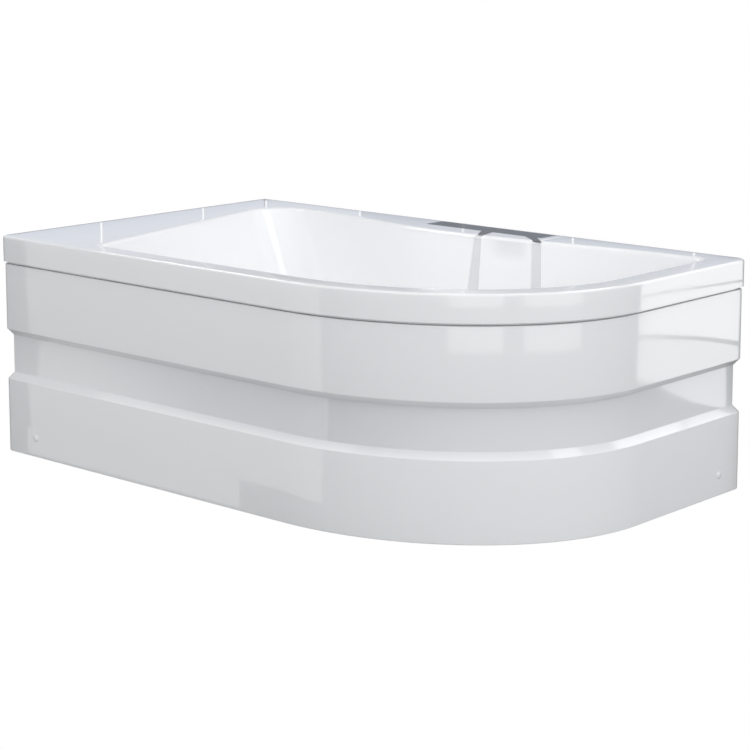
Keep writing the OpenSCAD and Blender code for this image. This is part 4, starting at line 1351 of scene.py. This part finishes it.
# Turned brass with fine rings from the lathe
def makeBrass():
    look = brassLook
    material, tree, shader, place = newMaterial("turnedBrass", look["rough"][0], 1.0)
    rings = addNode(tree, "ShaderNodeTexWave", bands_direction="Z", Scale=look["rings"],
                    Distortion=look["ringWander"], Vector=place)
    dull = useGroup(tree, "patches", Place=place, Size=look["dullSize"])
    colourWith(tree, shader, dull, *look["tones"])
    roughenWith(tree, shader, dull, *look["rough"])
    bumpWith(tree, shader, [calculate(tree, "MULTIPLY", rings.outputs["Fac"], look["ringDepth"])])
    return material


looks = {
    "satinGrey": {"colour": (0.185, 0.192, 0.205), "worn": (0.205, 0.212, 0.225), "patch": 0.05,
                  "rough": (0.42, 0.50), "relief": [(0.0011, 0.00001), (0.05, 0.00006)]},
    "powderCoat": {"colour": (0.74, 0.75, 0.77), "worn": (0.70, 0.71, 0.73), "patch": 0.08,
                   "rough": (0.36, 0.46), "relief": [(0.0022, 0.00002), (0.03, 0.00004)]},
    "screwSteel": {"colour": (0.60, 0.61, 0.62), "worn": (0.50, 0.48, 0.42), "patch": 0.004,
                   "rough": (0.26, 0.40), "metal": 1.0, "relief": [(0.0012, 0.00001)]},
    "threadSteel": {"colour": (0.58, 0.59, 0.61), "worn": (0.42, 0.40, 0.37), "patch": 0.009,
                    "rough": (0.28, 0.44), "metal": 1.0, "relief": [(0.001, 0.00001)]},
    "polishedChrome": {"colour": (0.86, 0.87, 0.89), "worn": (0.82, 0.83, 0.85), "patch": 0.02,
                       "rough": (0.04, 0.10), "metal": 1.0, "relief": [(0.02, 0.000006)]},
    "whiteCap": {"colour": (0.86, 0.865, 0.875), "worn": (0.83, 0.835, 0.845), "patch": 0.006,
                 "rough": (0.20, 0.28), "relief": [(0.0008, 0.000004)]},
    "blackPlastic": {"colour": (0.030, 0.030, 0.033), "worn": (0.045, 0.045, 0.048), "patch": 0.02,
                     "rough": (0.45, 0.58), "relief": [(0.0009, 0.00002)]},
    "padPlastic": {"colour": (0.036, 0.036, 0.040), "worn": (0.06, 0.058, 0.055), "patch": 0.018,
                   "rough": (0.50, 0.64), "relief": [(0.0012, 0.00003)]},
    "sealRubber": {"colour": (0.035, 0.035, 0.035), "worn": (0.055, 0.054, 0.052), "patch": 0.015,
                   "rough": (0.70, 0.82), "relief": [(0.0015, 0.00004)]},
    "cableSheath": {"colour": (0.032, 0.032, 0.036), "worn": (0.05, 0.05, 0.052), "patch": 0.03,
                    "rough": (0.38, 0.50), "relief": [(0.002, 0.00003)]},
    "pipePlastic": {"colour": (0.80, 0.80, 0.79), "worn": (0.76, 0.76, 0.74), "patch": 0.05,
                    "rough": (0.22, 0.32), "relief": [(0.012, 0.00003), (0.0012, 0.000004)]},
    "trapPlastic": {"colour": (0.83, 0.83, 0.82), "worn": (0.79, 0.79, 0.77), "patch": 0.03,
                    "rough": (0.30, 0.42), "relief": [(0.0008, 0.00001), (0.02, 0.00005)]},
}


scratchDepth = 0.000004


# A plain surface: two close tones in patches, a range of roughness and its own relief
def makeLook(name):
    look = looks[name]
    material, tree, shader, place = newMaterial(name, look["rough"][0], look.get("metal", 0.0))
    patches = useGroup(tree, "patches", Place=place, Size=look["patch"])
    scratch = useGroup(tree, "scratches", Place=place, Turn=(0.3, 0.2, 0.9), Size=look["patch"])
    colourWith(tree, shader, patches, look["colour"], look["worn"])
    roughenWith(tree, shader, patches, *look["rough"])
    heights = [useGroup(tree, "relief", Place=place, Size=size, Depth=depth)
               for size, depth in look["relief"]]
    bumpWith(tree, shader, heights + [calculate(tree, "MULTIPLY", scratch, -scratchDepth)])
    return material


def makeMaterials():
    print("materials")
    makeReliefGroup()
    makePatchGroup()
    makeScratchGroup()
    made = {name: makeLook(name) for name in looks}
    for name, colour in acrylicTones.items():
        made[name] = makeAcrylic(name, colour)
    made.update(glassFibre=makeFibre(), chipboard=makeChipboard(), softwood=makeSoftwood(),
                zincPlate=makeZinc(), turnedBrass=makeBrass())
    return made


# Stage: pale floor, sky tones, lamps, and cards that only reflections see

studio = {
    "skyAxis": (0.96, -0.28, 0), "skyLow": (0.04, 0.045, 0.05), "skyHigh": (1.25, 1.26, 1.28),
    "roomAxis": (0, 1, 0), "roomLow": (0.16, 0.17, 0.19), "roomHigh": (0.22, 0.24, 0.29),
    "floorTone": (0.50, 0.50, 0.50), "floorMirrored": (0.10, 0.10, 0.11), "floorSize": 60,
}


# Light by direction: the low tone against an axis, the high tone along it
def skyShader(tree, place, axis, low, high):
    along = addNode(tree, "ShaderNodeVectorMath", operation="DOT_PRODUCT")
    feed(tree, along.inputs[0], place)
    along.inputs[1].default_value = axis
    share = addNode(tree, "ShaderNodeMapRange")
    share.inputs["From Min"].default_value = -1
    tree.links.new(along.outputs["Value"], share.inputs["Value"])
    shader = addNode(tree, "ShaderNodeBackground")
    tree.links.new(mixColours(tree, share.outputs[0], low, high), shader.inputs["Color"])
    return shader.outputs[0]


def blendShaders(tree, share, first, second):
    blend = addNode(tree, "ShaderNodeMixShader", Fac=share)
    tree.links.new(first, blend.inputs[1])
    tree.links.new(second, blend.inputs[2])
    return blend.outputs[0]


def makeSky():
    scene = bpy.context.scene
    scene.view_settings.view_transform = "Standard"
    scene.world = bpy.data.worlds.new("studio")
    scene.world.use_nodes = True
    tree = scene.world.node_tree
    place = addNode(tree, "ShaderNodeTexCoord").outputs["Generated"]
    light = skyShader(tree, place, studio["skyAxis"], studio["skyLow"], studio["skyHigh"])
    room = skyShader(tree, place, studio["roomAxis"], studio["roomLow"], studio["roomHigh"])
    seen = addNode(tree, "ShaderNodeBackground", Color=(1, 1, 1, 1), Strength=1.0).outputs[0]
    path = addNode(tree, "ShaderNodeLightPath").outputs
    shown = blendShaders(tree, path["Is Glossy Ray"], light, room)
    shown = blendShaders(tree, path["Is Camera Ray"], shown, seen)
    tree.links.new(shown, tree.nodes["World Output"].inputs["Surface"])


# The floor looks white in the picture, and sends back less light than it shows
def makeFloor():
    material, tree, shader, _ = newMaterial("paleFloor", 0.9)
    shader.inputs["Base Color"].default_value = (*studio["floorTone"], 1)
    glow = addNode(tree, "ShaderNodeEmission", Color=(1, 1, 1, 1), Strength=1.0).outputs[0]
    mirrored = addNode(tree, "ShaderNodeEmission", Color=(*studio["floorMirrored"], 1), Strength=1.0)
    path = addNode(tree, "ShaderNodeLightPath").outputs
    shown = blendShaders(tree, path["Is Glossy Ray"], shader.outputs[0], mirrored.outputs[0])
    shown = blendShaders(tree, path["Is Camera Ray"], shown, glow)
    tree.links.new(shown, tree.nodes["Material Output"].inputs["Surface"])
    floor = primitive(bpy.ops.mesh.primitive_plane_add, "floor", size=studio["floorSize"])
    floor.data.materials.append(material)


lamps = [
    # name, place, aim, width, height, watts
    ("overhead", (-0.1, -0.5, 2.6), (0.1, 0, 0.4), 1.6, 1.6, 7),
    ("frontHigh", (1.3, -1.4, 2.6), (0.3, 0.3, 0.3), 1.4, 1.4, 12),
    ("basinFill", (0.20, -0.28, 0.62), (0.27, 0.35, 0.36), 0.62, 0.12, 0.58),
]


def makeLamps():
    for name, place, aim, width, height, watts in lamps:
        lamp = primitive(bpy.ops.object.light_add, name, type="AREA", location=place)
        lamp.rotation_euler = (Vector(aim) - Vector(place)).to_track_quat("-Z", "Y").to_euler()
        lamp.data.shape = "RECTANGLE"
        lamp.data.size, lamp.data.size_y = width, height
        lamp.data.energy = watts
        lamp.visible_camera = False
        lamp.visible_glossy = False


tileJoints = {"width": 0.005, "low": 0.521, "high": 0.95, "glow": 1.25,
              "onLeftWall": [-0.127, 0.216], "onBackWall": [-0.744, -0.405, -0.064, 0.271, 0.608]}

white, tile, dimTile = (1, 1, 1), (0.64, 0.68, 0.78), (0.19, 0.21, 0.26)
duskTile, darkTile = (0.43, 0.47, 0.57), (0.05, 0.06, 0.09)
cards = [
    # name, one upright edge and the other as x, y, low and high, tones at the foot and the top, strength
    ("wallBelow", (0.76, 0.44, 0.180, 0.3205), (1.05, 0.44, 0.180, 0.3205), white, white, 2.6),
    ("wallMiddle", (0.76, 0.44, 0.3325, 0.467), (1.05, 0.44, 0.3325, 0.396), white, white, 3.3),
    ("wallAbove", (0.76, 0.44, 0.472, 0.90), (1.05, 0.44, 0.401, 0.90), white, white, 3.3),
    ("frontLeft", (-0.861, -0.60, 0, 0.62), (0.20, -0.60, 0, 0.62), white, white, 1.25),
    ("frontFoot", (-0.688, -0.452, 0.001, 0.066), (0.03, -0.452, 0.001, 0.066), white, white, 1.25),
    ("overCurve", (0.20, 1.25, 1.5, 2.7), (1.90, 0.20, 1.5, 2.7), white, white, 3.0),
    ("curveNear", (1.91, -2.85, 0, 1.2), (2.93, -1.96, 0, 1.2), white, white, 1.9),
    ("curveFar", (3.22, -1.47, 0, 1.2), (3.47, 0.22, 0, 1.2), white, white, 1.9),
    ("firstBackTile", (-0.75, 0.4415, 0.521, 0.80), (-0.405, 0.4415, 0.521, 0.80), tile, darkTile, 0.96),
    ("otherBackTiles", (-0.405, 0.4415, 0.521, 0.80), (0.76, 0.4415, 0.521, 0.80), duskTile, darkTile, 1.0),
    ("leftTiles", (-0.7515, -0.44, 0.521, 0.80), (-0.7515, 0.44, 0.521, 0.80), tile, dimTile, 1.0),
]


def makeFace(name, corners, material):
    face = primitive(bpy.ops.mesh.primitive_plane_add, name, size=1)
    face.data.vertices.foreach_set("co", [c for p in corners for c in p])
    face.data.materials.append(material)
    return face


# An upright glowing card that lamps, shadows and the camera pass through
def makeCard(name, start, end, footTone, topTone, strength):
    material, tree, shader, place = newMaterial(name, 0.5)
    tree.nodes.remove(shader)
    height = addNode(tree, "ShaderNodeSeparateXYZ", Vector=place).outputs["Z"]
    share = spread(tree, height, start[2], start[3])
    glow = addNode(tree, "ShaderNodeEmission", Strength=strength)
    tree.links.new(mixColours(tree, share, footTone, topTone), glow.inputs["Color"])
    tree.links.new(glow.outputs[0], tree.nodes["Material Output"].inputs["Surface"])
    corners = [(x, y, (low, high)[i]) for i in (0, 1) for x, y, low, high in (start, end)]
    card = makeFace(name, corners, material)
    for ray in ("camera", "diffuse", "shadow", "transmission", "volume_scatter"):
        setattr(card, f"visible_{ray}", False)
    return card


def makeCards():
    j = tileJoints
    half = j["width"] / 2
    places = [((-halfL, y - half), (-halfL, y + half)) for y in j["onLeftWall"]]
    places += [((x - half, halfW), (x + half, halfW)) for x in j["onBackWall"]]
    for place in places:
        ends = [(*end, j["low"], j["high"]) for end in place]
        makeCard("tileJoint", *ends, white, white, j["glow"])
    for card in cards:
        makeCard(*card)


wallShade = {"x": (0.70, 0.775), "y": 0.446, "z": (0, 0.6), "tone": (0.02, 0.02, 0.02)}


# A dark strip beside the back right corner, which the camera passes through
def makeWallShade():
    material, _, shader, _ = newMaterial("wallShade", 0.5)
    shader.inputs["Base Color"].default_value = (*wallShade["tone"], 1)
    corners = [(x, wallShade["y"], z) for z in wallShade["z"] for x in wallShade["x"]]
    shade = makeFace("wallShade", corners, material)
    shade.visible_camera = False


# Rim and lip catch this softbox, high up on the left
softbox = {"place": (-2.2, -0.6, 2.8), "aim": (0, 0, 0.5), "size": 1.0, "radiance": 8.0}


def makeSoftbox():
    s = softbox
    box = makeCard("softbox", (-0.5, 0, -0.5, 0.5), (0.5, 0, -0.5, 0.5), white, white, s["radiance"])
    box.scale = (s["size"],) * 3
    box.rotation_euler = (Vector(s["aim"]) - Vector(s["place"])).to_track_quat("Y", "Z").to_euler()
    box.location = s["place"]
    settle(box)


def makeStage():
    print("stage")
    makeSky()
    makeFloor()
    makeLamps()
    makeCards()
    makeWallShade()
    makeSoftbox()


# Nodes that keep their shape, with eased edges
eased = [
    # node, body, material, width and segments of the edges
    ("base_board", "bath", "chipboard", 0.0005, 1),
    ("rim_battens", "bath", "softwood", 0.0012, 2),
    ("panel_clips", "bath", "zincPlate", 0.0005, 2),
    ("panel_brackets", "bath", "zincPlate", 0.0006, 2),
    ("wall_brackets", "bath", "zincPlate", 0.0008, 2),
    ("post_plates", "bath", "zincPlate", 0.0006, 2),
    ("panel_screws", "bath", "screwSteel", 0.0004, 2),
    ("cap_washers", "bath", "whiteCap", 0.00015, 2),
    ("screw_caps", "bath", "whiteCap", 0.0003, 3),
    ("long_rails", "bath", "powderCoat", 0.0007, 3),
    ("end_rails", "bath", "powderCoat", 0.0007, 3),
    ("diagonal_rail", "bath", "powderCoat", 0.0007, 3),
    ("cross_rails", "bath", "powderCoat", 0.0007, 3),
    ("bearer_rail", "bath", "powderCoat", 0.0007, 3),
    ("rim_posts", "bath", "powderCoat", 0.0007, 3),
    ("rail_end_plugs", "bath", "blackPlastic", 0.0008, 2),
    ("waste_flange", "bath", "polishedChrome", 0.0003, 2),
    ("popup_plug", "plug", "polishedChrome", 0.0005, 3),
    ("plug_stem", "plug", "turnedBrass", 0.0004, 2),
    ("waste_gasket", "bath", "sealRubber", 0.0006, 2),
    ("waste_body", "bath", "trapPlastic", 0.0008, 2),
    ("trap_nut", "bath", "trapPlastic", 0.0005, 2),
    ("trap_body", "bath", "trapPlastic", 0.0008, 2),
    ("trap_cup", "bath", "trapPlastic", 0.0005, 2),
    ("outlet_nut", "bath", "trapPlastic", 0.0005, 2),
    ("outlet_pipe", "bath", "pipePlastic", 0.0003, 2),
    ("overflow_face", "bath", "polishedChrome", 0.0005, 3),
    ("overflow_knob", "knob", "polishedChrome", 0.0009, 3),
    ("overflow_gasket", "bath", "sealRubber", 0.0006, 2),
    ("overflow_body", "bath", "trapPlastic", 0.0006, 2),
    ("overflow_nut", "bath", "trapPlastic", 0.0004, 2),
    ("overflow_pipe", "bath", "pipePlastic", 0.0003, 2),
    ("overflow_elbow", "bath", "trapPlastic", 0.0006, 2),
    ("overflow_cross_pipe", "bath", "pipePlastic", 0.0003, 2),
    ("inlet_nut", "bath", "trapPlastic", 0.0004, 2),
]


def easeNodes(materials):
    print("eased nodes")
    for node, body, material, width, segments in eased:
        ease(node, body, materials[material], width, segments)


setCamera()
makeStage()
materials = makeMaterials()
makeShell(materials["whiteAcrylic"])
makePanel(materials["panelAcrylic"])
makePlate(materials["satinGrey"])
makeBacking(materials["glassFibre"])
easeNodes(materials)
makeWelds(materials["powderCoat"])
for node in ("post_plate_screws", "board_screws"):
    makeScrews(node, materials["screwSteel"])
for node in ("leg_nuts", "lock_nuts"):
    makeNuts(node, materials["zincPlate"])
makeFeet(materials["threadSteel"], materials["padPlastic"])
makeCable(materials["cableSheath"])
